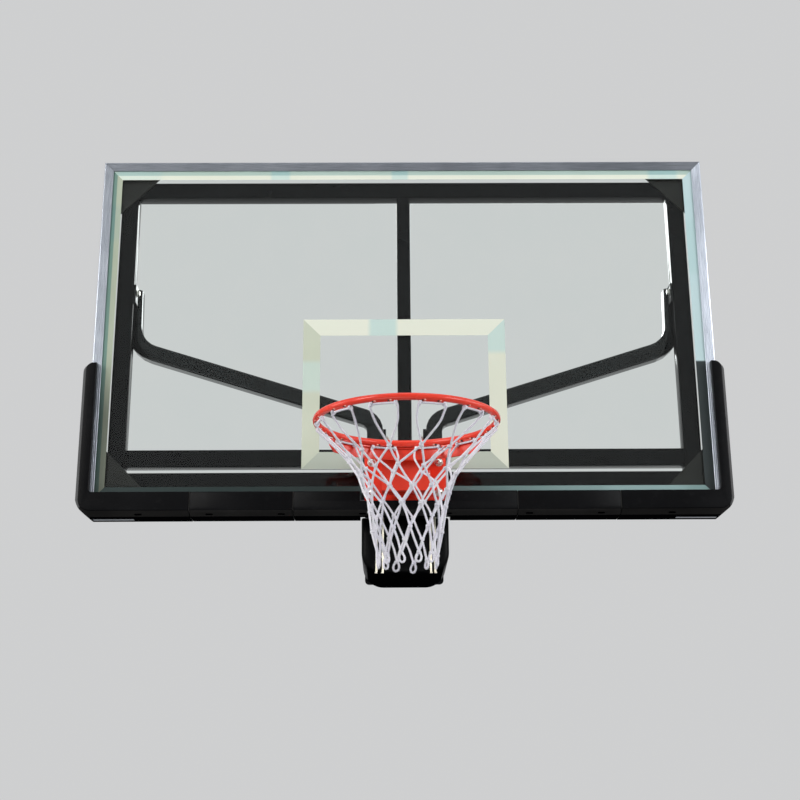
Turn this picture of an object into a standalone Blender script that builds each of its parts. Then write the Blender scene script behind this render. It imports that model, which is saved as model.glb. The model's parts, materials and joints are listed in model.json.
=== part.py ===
"""Basketball backboard with its breakaway rim and net, on the padded head of its support arm.

Metres, +Z up. The board faces -Y. Sizes are given in the board's own coordinates: X from the middle of
the glass, Y from the front face of the glass to the rear, Z from the lower edge of the glass. Everything
hangs under an empty that puts the centre of the arm's rear flange at the world's origin, and the pieces
that tilt with the rim hang under a second empty on the hinge pin's axis.
"""
import math

import bmesh
import bpy
from mathutils import Vector

# Clearances, and how far pieces that are welded together run into each other
GAP = 0.0003
BOLT_PLAY = 0.0003
WELD_LAP = 0.002

# Glass
GLASS_W = 1.800
GLASS_H = 1.050
GLASS_T = 0.012
GLASS_HOLE_R = 0.011

# Glazing gasket and aluminium frame
GASKET_LEG = 0.0015
GASKET_LIP = 0.010
FRAME_WALL = 0.003
FRAME_OVERHANG = 0.006
FRAME_FACE = 0.028
FRAME_EDGE_R = 0.0028
NOTCH_CLEAR = 0.0012

# Sub-frame of square steel tube behind the glass
TUBE = 0.050
TUBE_WALL = 0.003
TUBE_EDGE_R = 0.005
CENTRE_TUBE_W = 0.040
SUBFRAME_SIDE_INSET = 0.055
SUBFRAME_TOP_INSET = 0.059
SUBFRAME_BOTTOM = 0.045
BEAM_BOTTOM = 0.112
GUSSET_LEG = 0.160
GUSSET_T = 0.004

# Braces
BRACE = 0.047
BRACE_WALL = 0.003
BRACE_TOP_INSET = 0.043
BRACE_TOP_Z = 0.672
BRACE_KNEE_INSET = 0.046
BRACE_KNEE_Z = 0.490
BRACE_ANKLE = (0.086, 0.263)
BRACE_KNEE_R = 0.090
BRACE_ANKLE_R = 0.045
BRACE_CLIP_T = 0.006
BRACE_CLIP_H = 0.060
BRACE_BOLT_DROP = 0.024
BRACE_BOLT_Y = 0.042
BRACE_FOOT_BOLT_RISE = 0.050
BRACE_BOLT_GRIP = 0.016

# Rim bolts
BOLT_X = 0.095
BOLT_LOW = 0.028
BOLT_HIGH = 0.115
BOLT_R = 0.006
BOLT_HEAD_R = 0.010
BOLT_HEAD_H = 0.0075
WASHER_R = 0.012
WASHER_T = 0.0025
NUT_R = 0.0104
NUT_H = 0.010
NUT_DOME_R = 0.0088
BUSH_WALL_PLAY = 0.0003

# Rubber sheets before and behind the glass
SHEET_HALF_W = 0.122
FRONT_SHEET_T = 0.006
REAR_SHEET_CLEAR = 0.0012
SHEET_TOP = 0.138
SHEET_BOTTOM = 0.0108

# Base plate of the rim
PLATE_HALF_W = 0.115
PLATE_T = 0.008
PLATE_BOTTOM = 0.0045
PLATE_TOP = 0.133
PLATE_CORNER_R = 0.006
LIP_OUT = 0.008
LIP_T = 0.006
EAR_T = 0.0055
EAR_NOSE_R = 0.016
STUD_R = 0.005
STUD_LENGTH = 0.045

# Hinge
PIN_Y = -0.040
PIN_Z = 0.075
PIN_R = 0.007
PIN_PLAY = 0.0003
PIN_HEAD_R = 0.010
PIN_HEAD_T = 0.0032

# Housing that turns on the pin
HOUSING_HALF_W = 0.0655
HOUSING_WALL = 0.005
HOUSING_FRONT = -0.110
HOUSING_BACK = -0.020
HOUSING_BOTTOM = 0.014
HOUSING_TOE = -0.050
EAR_PLAY = 0.001

# Ring and what carries it
RING_BORE_R = 0.225
RING_TUBE_R = 0.009
RING_Y = -0.376
RING_Z = 0.138
TABS = 12
TAB_ARC = math.radians(17.0)
TAB_T = 0.004
TAB_BOTTOM = 0.124
TAB_SINK = 0.003
SUPPORT_T = 0.006
SUPPORT_LAP = 0.0005
SUPPORT_BACK_HALF_W = 0.070
SUPPORT_BACK = -0.024
SKIRT_R = 0.243
SKIRT_T = 0.005
SKIRT_HALF_ARC = math.radians(58.0)
SKIRT_BOTTOM = 0.092
SKIRT_CORNER = 0.016

# Return springs
SPRING_X = 0.035
SPRING_Z = 0.040
SPRING_R = 0.0115
SPRING_WIRE_R = 0.0016
SPRING_TURNS = 7
POINTS_A_TURN = 8

# Net: height, radius and lean of each row of knots, from the ring down
CORD_R = 0.00275
KNOT_ROWS = (
    (0.040, 0.155, -2.0),
    (-0.003, 0.125, -10.0),
    (-0.051, 0.109, -11.0),
    (-0.093, 0.098, -11.0),
    (-0.152, 0.087, -11.0),
    (-0.215, 0.076, -11.0),
)
CROSSING_OFFSET = 0.0012
LOOP_H = 0.030
LOOP_W = 0.0205
LOOP_POINTS = 8

# Arm head
ARM_REACH = 0.400
ARM_DROP = 0.035
ARM_PLATE_T = 0.012
ARM_PLATE_HALF_W = 0.125
ARM_PLATE_BOTTOM = -0.015
ARM_PLATE_TOP = 0.160
ARM_TOP_T = 0.010
ARM_TOP_BACK = 0.150
ARM_CHEEK_T = 0.006
BOOM_HALF_W = 0.075
BOOM_WALL = 0.006
BOOM_TOP = 0.065
BOOM_BOTTOM = -0.135
BOOM_FRONT = 0.130
NECK_BOTTOM = -0.005
NECK_BACK = 0.160
SLOPE_TO_FLANGE = 0.090
HAND_HOLE_R = 0.025
HAND_HOLE_TO_FLANGE = 0.060
HAND_HOLE_Z = 0.022
FLANGE_T = 0.010
FLANGE_HALF_W = 0.120
FLANGE_HALF_H = 0.135
FLANGE_CORNER_R = 0.012
FLANGE_BOLT_X = 0.098
FLANGE_BOLT_RISE = 0.112
FLANGE_HOLE_R = 0.009
LUG_T = 0.008
LUG_FRONT = 0.072
LUG_BACK = 0.112
LUG_H = 0.075

# Arm pad
ARM_PAD_T = 0.050
ARM_PAD_TOP = -0.022
ARM_PAD_TO_FLANGE = 0.028
ARM_PAD_CORNER_R = 0.064

# Rods in front of the arm pad
ROD_X = (-0.082, -0.064, 0.072, 0.084)
ROD_Y = 0.072
ROD_R = 0.004
ROD_BOTTOM = -0.187
ROD_COLLAR_R = 0.0055
ROD_COLLAR_H = 0.008
ROD_LUG_T = 0.006
ROD_LUG_MARGIN = 0.012
ROD_LUG_BACK = 0.012

# Edge pads
PAD_FRONT = -0.030
PAD_BACK = 0.072
PAD_TOP = 0.031
PAD_BOTTOM = -0.0355
PAD_OVERHANG = 0.024
PAD_COVER = 0.018
PAD_SIDE_TOP = 0.415
PAD_CORNER_LEG = 0.325
PAD_MIDDLE_HALF_W = 0.315
PAD_TOP_CORNER_R = 0.026
PAD_LOW_CORNER = ((0.041, 0.0), (0.0365, 0.0031), (0.025, 0.0123), (0.0145, 0.0209), (0.009, 0.0275),
                  (0.0035, 0.038), (0.0, 0.0485))
PAD_FACE_CORNER_R = 0.034
PAD_INNER_R = 0.008
PAD_EDGE_R = 0.004
PAD_STRIP_RISE = 0.0125
PAD_STRIP_DEPTH = 0.027
PAD_TOP_STRIP = 0.003
PAD_NOTCH_HALF_W = 0.1275
PAD_NOTCH_Z = 0.002
PAD_ARM_NOTCH_Y = 0.0165
PAD_MIDDLE_HOLE_X = 0.120
PAD_HOLE_FROM_MIDDLE = 0.033
PAD_HOLE_TO_CORNER = 0.055
PAD_HOLE_IN_CORNER = 0.144
PAD_HOLE_W = 0.022
PAD_HOLE_H = 0.0044
PAD_HOLE_RISE = 0.0042
PAD_HOLE_DEPTH = 0.008

# Depths worked out from the glass to the front and to the rear
FRAME_FRONT = -GAP - GASKET_LEG - GAP - FRAME_WALL
FRAME_BACK = GLASS_T + GAP + GASKET_LEG + GAP + FRAME_WALL
TUBE_FRONT = FRAME_BACK + GAP
TUBE_BACK = TUBE_FRONT + TUBE
BRACE_FRONT = TUBE_BACK + GAP
BRACE_BACK = BRACE_FRONT + BRACE
FRAME_HALF_W = GLASS_W / 2 + FRAME_OVERHANG
FRAME_TOP = GLASS_H + FRAME_OVERHANG
FRAME_BOTTOM = -FRAME_OVERHANG
SUBFRAME_HALF_W = FRAME_HALF_W - SUBFRAME_SIDE_INSET
SUBFRAME_TOP = FRAME_TOP - SUBFRAME_TOP_INSET
BRACE_TOP = (SUBFRAME_HALF_W - BRACE_TOP_INSET, BRACE_TOP_Z)
BRACE_KNEE = (SUBFRAME_HALF_W - BRACE_KNEE_INSET, BRACE_KNEE_Z)
PAD_HALF_W = FRAME_HALF_W + PAD_OVERHANG
PAD_INNER = FRAME_HALF_W - PAD_COVER
PAD_SEAM = PAD_HALF_W - PAD_CORNER_LEG
PAD_HOLE_X = (PAD_MIDDLE_HOLE_X, PAD_MIDDLE_HALF_W + PAD_HOLE_FROM_MIDDLE, PAD_SEAM - PAD_HOLE_TO_CORNER,
              PAD_SEAM + PAD_HOLE_IN_CORNER)
SHEET_FRONT = -GAP - FRONT_SHEET_T
PLATE_BACK = SHEET_FRONT - GAP
PLATE_FRONT = PLATE_BACK - PLATE_T
ARM_PLATE_BACK = TUBE_FRONT + ARM_PLATE_T
FLANGE_FRONT = ARM_REACH - FLANGE_T
SLOPE_BACK = FLANGE_FRONT - SLOPE_TO_FLANGE
HAND_HOLE_Y = FLANGE_FRONT - HAND_HOLE_TO_FLANGE
ARM_PAD_FRONT = BOOM_FRONT - ARM_PAD_T
ARM_PAD_BACK = FLANGE_FRONT - ARM_PAD_TO_FLANGE
RING_R = RING_BORE_R + RING_TUBE_R
TAB_R = RING_R - TAB_T / 2
SUPPORT_TOP = RING_Z - RING_TUBE_R - GAP
SUPPORT_BOTTOM = SUPPORT_TOP - SUPPORT_T
HOUSING_TOP = SUPPORT_BOTTOM - GAP
NET_TOP = TAB_BOTTOM - GAP - CORD_R
BOARD_AT = Vector((0.0, -ARM_REACH, ARM_DROP))
PIN_AT = Vector((0.0, PIN_Y, PIN_Z))

# How a flat outline is turned: its first axis, its second axis, and the axis that it is extruded along
FRONT = (math.pi / 2, 0.0, 0.0)
SIDE = (math.pi / 2, 0.0, math.pi / 2)
PLAN = (0.0, 0.0, 0.0)

for old in list(bpy.data.objects):
    bpy.data.objects.remove(old)


def new_collection(name):
    made = bpy.data.collections.new(name)
    bpy.context.scene.collection.children.link(made)
    return made


PARTS = new_collection("basketball_hoop")
CUTTERS = new_collection("cutters")


def new_material(name, colour, metallic, roughness, alpha=1.0):
    made = bpy.data.materials.new(name)
    made.use_nodes = True
    shader = made.node_tree.nodes["Principled BSDF"]
    shader.inputs["Base Color"].default_value = (*colour, 1.0)
    shader.inputs["Metallic"].default_value = metallic
    shader.inputs["Roughness"].default_value = roughness
    shader.inputs["Alpha"].default_value = alpha
    return made


GLASS = new_material("clear_glass", (0.80, 0.90, 0.87), 0.0, 0.03, 0.35)
ALUMINIUM = new_material("brushed_aluminium", (0.62, 0.66, 0.72), 1.0, 0.35)
BLACK_STEEL = new_material("black_steel", (0.02, 0.022, 0.024), 0.3, 0.3)
GREY_STEEL = new_material("grey_steel", (0.085, 0.082, 0.075), 0.3, 0.45)
ORANGE = new_material("orange_paint", (0.85, 0.10, 0.03), 0.0, 0.3)
ZINC = new_material("zinc_plate", (0.80, 0.78, 0.70), 1.0, 0.3)
RUBBER = new_material("black_rubber", (0.03, 0.03, 0.03), 0.0, 0.8)
FOAM = new_material("black_foam", (0.035, 0.035, 0.037), 0.0, 0.6)
NYLON = new_material("white_nylon", (0.85, 0.84, 0.80), 0.0, 0.5)
CORD = new_material("white_cord", (0.90, 0.88, 0.93), 0.0, 0.8)

board = bpy.data.objects.new("board", None)
board.location = BOARD_AT
PARTS.objects.link(board)
rim = bpy.data.objects.new("rim_axis", None)
rim.location = PIN_AT
rim.parent = board
PARTS.objects.link(rim)


def put(made, material, parent=board, at=(0.0, 0.0, 0.0)):
    """Hangs an object under an empty, at a place in the board's coordinates. A cutter has no material."""
    origin = PIN_AT if parent is rim else Vector()
    made.location = Vector(at) - origin
    made.parent = parent
    if material is None:
        CUTTERS.objects.link(made)
        made.hide_render = True
        made.display_type = "WIRE"
    else:
        PARTS.objects.link(made)
        made.data.materials.append(material)
    return made


def arc(centre, radius, start, end, steps):
    """Points along an arc, angles in degrees, with both ends."""
    points = []
    for i in range(steps + 1):
        a = math.radians(start + (end - start) * i / steps)
        points.append((centre[0] + radius * math.cos(a), centre[1] + radius * math.sin(a)))
    return points


def rectangle(lo, hi, radius=0.0, steps=3):
    """A rectangle's outline with round corners, anticlockwise."""
    if radius <= 0:
        return [(lo[0], lo[1]), (hi[0], lo[1]), (hi[0], hi[1]), (lo[0], hi[1])]
    points = arc((lo[0] + radius, lo[1] + radius), radius, 180, 270, steps)
    points += arc((hi[0] - radius, lo[1] + radius), radius, 270, 360, steps)
    points += arc((hi[0] - radius, hi[1] - radius), radius, 0, 90, steps)
    points += arc((lo[0] + radius, hi[1] - radius), radius, 90, 180, steps)
    return points


def circle(centre, radius, steps=14):
    return arc(centre, radius, 0, 360 * (steps - 1) / steps, steps - 1)


def to_mesh(curve, name):
    """A mesh object in place of a curve, with its caps welded on."""
    graph = bpy.context.evaluated_depsgraph_get()
    mesh = bpy.data.meshes.new_from_object(curve.evaluated_get(graph))
    work = bmesh.new()
    work.from_mesh(mesh)
    bmesh.ops.remove_doubles(work, verts=work.verts, dist=0.00001)
    bmesh.ops.recalc_face_normals(work, faces=work.faces)
    work.to_mesh(mesh)
    work.free()
    mesh.materials.clear()
    mesh.name = name
    place = curve.matrix_world.copy()
    bpy.data.objects.remove(curve)
    made = bpy.data.objects.new(name, mesh)
    made.matrix_world = place
    return made


def prism(name, loops, turn, lo, hi, material, parent=board):
    """An outline with its holes, extruded from lo to hi along the axis that it is square to."""
    curve = bpy.data.curves.new(name, "CURVE")
    curve.dimensions = "2D"
    curve.fill_mode = "BOTH"
    curve.extrude = (hi - lo) / 2
    for loop in loops:
        spline = curve.splines.new("POLY")
        spline.points.add(len(loop) - 1)
        for point, place in zip(spline.points, loop):
            point.co = (place[0], place[1], 0.0, 1.0)
        spline.use_cyclic_u = True
    flat = bpy.data.objects.new(name, curve)
    bpy.context.scene.collection.objects.link(flat)
    made = to_mesh(flat, name)
    made.rotation_euler = turn
    middle = (lo + hi) / 2
    at = {FRONT: (0, middle, 0), SIDE: (middle, 0, 0), PLAN: (0, 0, middle)}[turn]
    return put(made, material, parent, at)


def box(name, lo, hi, material, parent=board):
    mesh = bpy.data.meshes.new(name)
    work = bmesh.new()
    bmesh.ops.create_cube(work, size=1.0)
    size = [high - low for low, high in zip(lo, hi)]
    bmesh.ops.scale(work, verts=work.verts, vec=size)
    work.to_mesh(mesh)
    work.free()
    made = bpy.data.objects.new(name, mesh)
    return put(made, material, parent, [(low + high) / 2 for low, high in zip(lo, hi)])


def cylinder(name, radius, lo, hi, axis, at, material, parent=board, steps=16):
    """A cylinder from lo to hi along an axis (0, 1 or 2 for X, Y or Z). Its other two places are in at."""
    mesh = bpy.data.meshes.new(name)
    work = bmesh.new()
    bmesh.ops.create_cone(
        work, cap_ends=True, segments=steps, radius1=radius, radius2=radius, depth=hi - lo)
    work.to_mesh(mesh)
    work.free()
    made = bpy.data.objects.new(name, mesh)
    made.rotation_euler = ((0, math.pi / 2, 0), (math.pi / 2, 0, 0), (0, 0, 0))[axis]
    place = list(at)
    place.insert(axis, (lo + hi) / 2)
    smooth(made)
    return put(made, material, parent, place)


def turned(name, profile, turn, at, material, parent=board, steps=16):
    """A round piece from its (radius, height) profile, which runs down its outer side."""
    mesh = bpy.data.meshes.new(name)
    work = bmesh.new()
    verts = [work.verts.new((radius, 0.0, height)) for radius, height in profile]
    for first, second in zip(verts, verts[1:] + verts[:1]):
        on_axis = first.co.x < 1e-9 and second.co.x < 1e-9
        if not on_axis:
            work.edges.new((first, second))
    work.to_mesh(mesh)
    work.free()
    made = bpy.data.objects.new(name, mesh)
    screw = made.modifiers.new("turn", "SCREW")
    screw.steps = steps
    screw.render_steps = steps
    screw.use_merge_vertices = True
    screw.merge_threshold = 0.00001
    screw.use_smooth_shade = False
    made.rotation_euler = turn
    return put(made, material, parent, at)


def tubes(name, routes, radius, cyclic, material, parent=board):
    """Round cord or wire along each route, all in one mesh."""
    curve = bpy.data.curves.new(name, "CURVE")
    curve.dimensions = "3D"
    curve.bevel_depth = radius
    curve.bevel_resolution = 1
    curve.use_fill_caps = not cyclic
    for route in routes:
        spline = curve.splines.new("POLY")
        spline.points.add(len(route) - 1)
        for point, place in zip(spline.points, route):
            point.co = (*place, 1.0)
        spline.use_cyclic_u = cyclic
    line = bpy.data.objects.new(name, curve)
    bpy.context.scene.collection.objects.link(line)
    made = to_mesh(line, name)
    smooth(made)
    return put(made, material, parent, PIN_AT if parent is rim else (0, 0, 0))


def smooth(made, angle=40):
    made.data.shade_smooth()
    made.data.set_sharp_from_angle(angle=math.radians(angle))


def combine(made, other, operation):
    change = made.modifiers.new(operation.lower(), "BOOLEAN")
    change.operation = operation
    change.solver = "EXACT"
    change.object = other


def cut(made, *others):
    for other in others:
        combine(made, other, "DIFFERENCE")


def join(made, *others):
    for other in others:
        combine(made, other, "UNION")


def chamfer(made, width, angle=60):
    """Cuts back each edge that turns by more than an angle in degrees."""
    change = made.modifiers.new("edges", "BEVEL")
    change.width = width
    change.segments = 1
    change.limit_method = "ANGLE"
    change.angle_limit = math.radians(angle)


def inset(points, distance):
    """An anticlockwise outline moved in by a distance."""
    moved = []
    for i, here in enumerate(points):
        before = Vector(points[i - 1])
        after = Vector(points[(i + 1) % len(points)])
        here = Vector(here)
        first = (here - before).normalized()
        second = (after - here).normalized()
        normal = Vector((-first.y - second.y, first.x + second.x))
        reach = distance / (normal.normalized().dot(Vector((-first.y, first.x))))
        moved.append(tuple(here + normal.normalized() * reach))
    return moved


def filleted(points, radii, steps=5):
    """A route through points, with a round bend of its own radius at each inner one."""
    route = [Vector(points[0])]
    for before, corner, after, radius in zip(points, points[1:], points[2:], radii):
        corner = Vector(corner)
        back = (Vector(before) - corner).normalized()
        ahead = (Vector(after) - corner).normalized()
        half = math.acos(back.dot(ahead)) / 2
        run = radius / math.tan(half)
        centre = corner + (back + ahead).normalized() * radius / math.sin(half)
        start = corner + back * run - centre
        end = corner + ahead * run - centre
        turn = math.atan2(start.x * end.y - start.y * end.x, start.dot(end))
        for i in range(steps + 1):
            a = turn * i / steps
            swung = Vector((start.x * math.cos(a) - start.y * math.sin(a),
                            start.x * math.sin(a) + start.y * math.cos(a)))
            route.append(centre + swung)
    route.append(Vector(points[-1]))
    return route


def ribbon(route, half_width, overrun=0.0):
    """The outline of a flat band of one width along a route, which may run past its ends."""
    left = []
    right = []
    for i, here in enumerate(route):
        before = route[max(i - 1, 0)]
        after = route[min(i + 1, len(route) - 1)]
        ahead = (after - before).normalized()
        side = Vector((-ahead.y, ahead.x)) * half_width
        push = Vector((0.0, 0.0))
        if i == 0:
            push = -ahead * overrun
        elif i == len(route) - 1:
            push = ahead * overrun
        left.append(tuple(here + push + side))
        right.append(tuple(here + push - side))
    return right + left[::-1]


def around_ring(radius, angle, height):
    """A point at an angle from the ring's front, towards +X, in the board's coordinates."""
    return (radius * math.sin(angle), RING_Y - radius * math.cos(angle), height)


def bolt_places():
    """The four rim bolts: number, x and z."""
    places = []
    for z in (BOLT_LOW, BOLT_HIGH):
        for x in (-BOLT_X, BOLT_X):
            places.append((len(places) + 1, x, z))
    return places


def bolt_holes(radius):
    return [circle((x, z), radius) for _, x, z in bolt_places()]


def glazing():
    """The glass, its bushes, the gasket round it and the four rails of the aluminium frame."""
    pane = rectangle((-GLASS_W / 2, 0), (GLASS_W / 2, GLASS_H))
    prism("glass_panel", [pane] + bolt_holes(GLASS_HOLE_R), FRONT, 0, GLASS_T, GLASS)
    for number, x, z in bolt_places():
        outer = circle((x, z), GLASS_HOLE_R - BUSH_WALL_PLAY)
        bore = circle((x, z), BOLT_R + BOLT_PLAY)
        prism(f"glass_bush_{number}", [outer, bore], FRONT, 0, GLASS_T, NYLON)

    rim_out = FRAME_OVERHANG - FRAME_WALL - GAP
    outer = rectangle((-GLASS_W / 2 - rim_out, -rim_out), (GLASS_W / 2 + rim_out, GLASS_H + rim_out))
    inner = rectangle(
        (-GLASS_W / 2 + GASKET_LIP, GASKET_LIP), (GLASS_W / 2 - GASKET_LIP, GLASS_H - GASKET_LIP))
    gasket = prism(
        "glazing_gasket", [outer, inner], FRONT, -GAP - GASKET_LEG, GLASS_T + GAP + GASKET_LEG, RUBBER)
    cut(gasket, box("glass_slot", (-GLASS_W / 2 - GAP, -GAP, -GAP),
                    (GLASS_W / 2 + GAP, GLASS_T + GAP, GLASS_H + GAP), None))

    rail("frame_left", 0, GLASS_H + 2 * FRAME_OVERHANG, (-FRAME_HALF_W, 0, GLASS_H / 2))
    rail("frame_right", math.pi, GLASS_H + 2 * FRAME_OVERHANG, (FRAME_HALF_W, 0, GLASS_H / 2))
    rail("frame_top", math.pi / 2, 2 * FRAME_HALF_W, (0, 0, FRAME_TOP))
    bottom = rail("frame_bottom", -math.pi / 2, 2 * FRAME_HALF_W, (0, 0, FRAME_BOTTOM))
    reach = ARM_PLATE_HALF_W + NOTCH_CLEAR
    notch = box("rail_notch", (-reach, FRAME_FRONT - NOTCH_CLEAR, SHEET_BOTTOM - NOTCH_CLEAR),
                (reach, FRAME_BACK + NOTCH_CLEAR, FRAME_FACE), None)
    cut(bottom, notch)


def rail(name, turn, length, at):
    """A mitred channel rail. Its profile runs in from the outer edge, with the lips before and behind."""
    front = FRAME_FRONT
    back = FRAME_BACK
    face = FRAME_FACE
    wall = FRAME_WALL
    corner = FRAME_EDGE_R
    profile = arc((corner, front + corner), corner, 180, 270, 4)
    profile += [(face, front), (face, front + wall), (wall, front + wall), (wall, back - wall)]
    profile += [(face, back - wall), (face, back)]
    profile += arc((corner, back - corner), corner, 90, 180, 4)
    made = prism(name, [profile], PLAN, -length / 2, length / 2, ALUMINIUM)
    for vert in made.data.vertices:
        end = math.copysign(1.0, vert.co.z)
        vert.co.z -= end * (vert.co.x + GAP)
    made.rotation_euler = (0, turn, 0)
    made.location = at
    return made


def square_tube(name, lo, hi, turn, start, end):
    """A hollow tube whose section lies between two corners, from start to end along its length."""
    outer = rectangle(lo, hi, TUBE_EDGE_R)
    bore_r = TUBE_EDGE_R - TUBE_WALL
    inner = rectangle(
        (lo[0] + TUBE_WALL, lo[1] + TUBE_WALL), (hi[0] - TUBE_WALL, hi[1] - TUBE_WALL), bore_r, 2)
    return prism(name, [outer, inner], turn, start, end, BLACK_STEEL)


def subframe():
    """The square tubes behind the glass, and the gussets between them and the aluminium frame."""
    inside = SUBFRAME_HALF_W - TUBE
    cheek = ARM_PLATE_HALF_W + GAP
    for side, sign in (("left", -1), ("right", 1)):
        xs = sorted((sign * SUBFRAME_HALF_W, sign * inside))
        upright = square_tube(f"tube_{side}", (xs[0], TUBE_FRONT), (xs[1], TUBE_BACK), PLAN,
                              SUBFRAME_BOTTOM, SUBFRAME_TOP)
        cut(upright, brace_top_hole(side, sign))
        run = sorted((sign * (inside - GAP), sign * cheek))
        for name, low in ((f"tube_bottom_{side}", SUBFRAME_BOTTOM), (f"lower_beam_{side}", BEAM_BOTTOM)):
            square_tube(name, (TUBE_FRONT, low), (TUBE_BACK, low + TUBE), SIDE, run[0], run[1])
    square_tube("tube_top", (TUBE_FRONT, SUBFRAME_TOP - TUBE), (TUBE_BACK, SUBFRAME_TOP), SIDE,
                GAP - inside, inside - GAP)
    square_tube("tube_centre", (-CENTRE_TUBE_W / 2, TUBE_FRONT), (CENTRE_TUBE_W / 2, TUBE_BACK), PLAN,
                ARM_PLATE_TOP + GAP, SUBFRAME_TOP - TUBE - GAP)

    plate_back = TUBE_FRONT - GAP
    lip_x = FRAME_HALF_W - FRAME_FACE - GAP
    lips_z = (("bottom", FRAME_BOTTOM + FRAME_FACE + GAP, 1), ("top", FRAME_TOP - FRAME_FACE - GAP, -1))
    for side, sign in (("left", -1), ("right", 1)):
        for end, z, up in lips_z:
            x = sign * lip_x
            corners = [(x, z), (x - sign * GUSSET_LEG, z), (x, z + up * GUSSET_LEG)]
            prism(f"gusset_{end}_{side}", [corners], FRONT, plate_back - GUSSET_T, plate_back, GREY_STEEL)


def brace_top_hole(side, sign):
    """The hole for the brace's upper bolt, through the side tube's inner wall and the brace's clip."""
    near = sign * (SUBFRAME_HALF_W - TUBE - 2 * BRACE_CLIP_T)
    far = sign * (SUBFRAME_HALF_W - TUBE / 2)
    at = (BRACE_BOLT_Y, BRACE_TOP[1] - BRACE_BOLT_DROP)
    lo, hi = sorted((near, far))
    return cylinder(f"brace_top_hole_{side}", BOLT_R + BOLT_PLAY, lo, hi, 0, at, None)


def brace_foot_hole(side, sign):
    """The hole for the brace's lower bolt, through its inner wall and the lug on the arm head."""
    inner = BRACE_ANKLE[0] - BRACE / 2
    lo, hi = sorted((sign * (inner - 2 * LUG_T), sign * (inner + BRACE / 2)))
    at = ((BRACE_FRONT + BRACE_BACK) / 2, ARM_PLATE_TOP + BRACE_FOOT_BOLT_RISE)
    return cylinder(f"brace_foot_hole_{side}", BOLT_R + BOLT_PLAY, lo, hi, 0, at, None)


def braces():
    """A bent square tube on each side, with a clip on the side tube and a bolt at each end."""
    foot = ARM_PLATE_TOP + GAP
    for side, sign in (("left", -1), ("right", 1)):
        corners = [(sign * x, z) for x, z in (BRACE_TOP, BRACE_KNEE, BRACE_ANKLE, (BRACE_ANKLE[0], foot))]
        route = filleted(corners, (BRACE_KNEE_R, BRACE_ANKLE_R))
        outline = ribbon(route, BRACE / 2)
        brace = prism(f"brace_{side}", [outline], FRONT, BRACE_FRONT, BRACE_BACK, BLACK_STEEL)
        chamfer(brace, TUBE_EDGE_R)
        bore = prism(f"brace_bore_{side}", [ribbon(route, BRACE / 2 - BRACE_WALL, BRACE_WALL)], FRONT,
                     BRACE_FRONT + BRACE_WALL, BRACE_BACK - BRACE_WALL, None)
        cut(brace, bore)
        tube_face = SUBFRAME_HALF_W - TUBE - GAP
        xs = sorted((sign * tube_face, sign * (tube_face - BRACE_CLIP_T)))
        clip = box(f"brace_clip_{side}", (xs[0], TUBE_FRONT + TUBE_EDGE_R, BRACE_TOP[1] - BRACE_CLIP_H),
                   (xs[1], BRACE_BACK - BRACE_WALL / 2, BRACE_TOP[1] - BRACE_WALL), None)
        join(brace, clip)
        cut(brace, brace_top_hole(f"{side}_clip", sign), brace_foot_hole(f"{side}_tube", sign))

        head_at = sign * (tube_face - BRACE_CLIP_T - GAP)
        bolt(f"brace_bolt_top_{side}", head_at, -sign, BRACE_BOLT_GRIP,
             (BRACE_BOLT_Y, BRACE_TOP[1] - BRACE_BOLT_DROP))
        lug_face = BRACE_ANKLE[0] - BRACE / 2 - GAP - LUG_T
        bolt(f"brace_bolt_foot_{side}", sign * (lug_face - GAP), -sign, BRACE_BOLT_GRIP + LUG_T,
             ((BRACE_FRONT + BRACE_BACK) / 2, ARM_PLATE_TOP + BRACE_FOOT_BOLT_RISE))


def bolt(name, face, outward, shank, at):
    """A bolt along X. Its head stands outward from a face, and its shank goes the other way."""
    profile = [(0, BOLT_HEAD_H), (BOLT_HEAD_R, BOLT_HEAD_H), (BOLT_HEAD_R, 0), (BOLT_R, 0),
               (BOLT_R, -shank), (0, -shank)]
    turned(name, profile, (0, outward * math.pi / 2, 0), (face, at[0], at[1]), ZINC)


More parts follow.
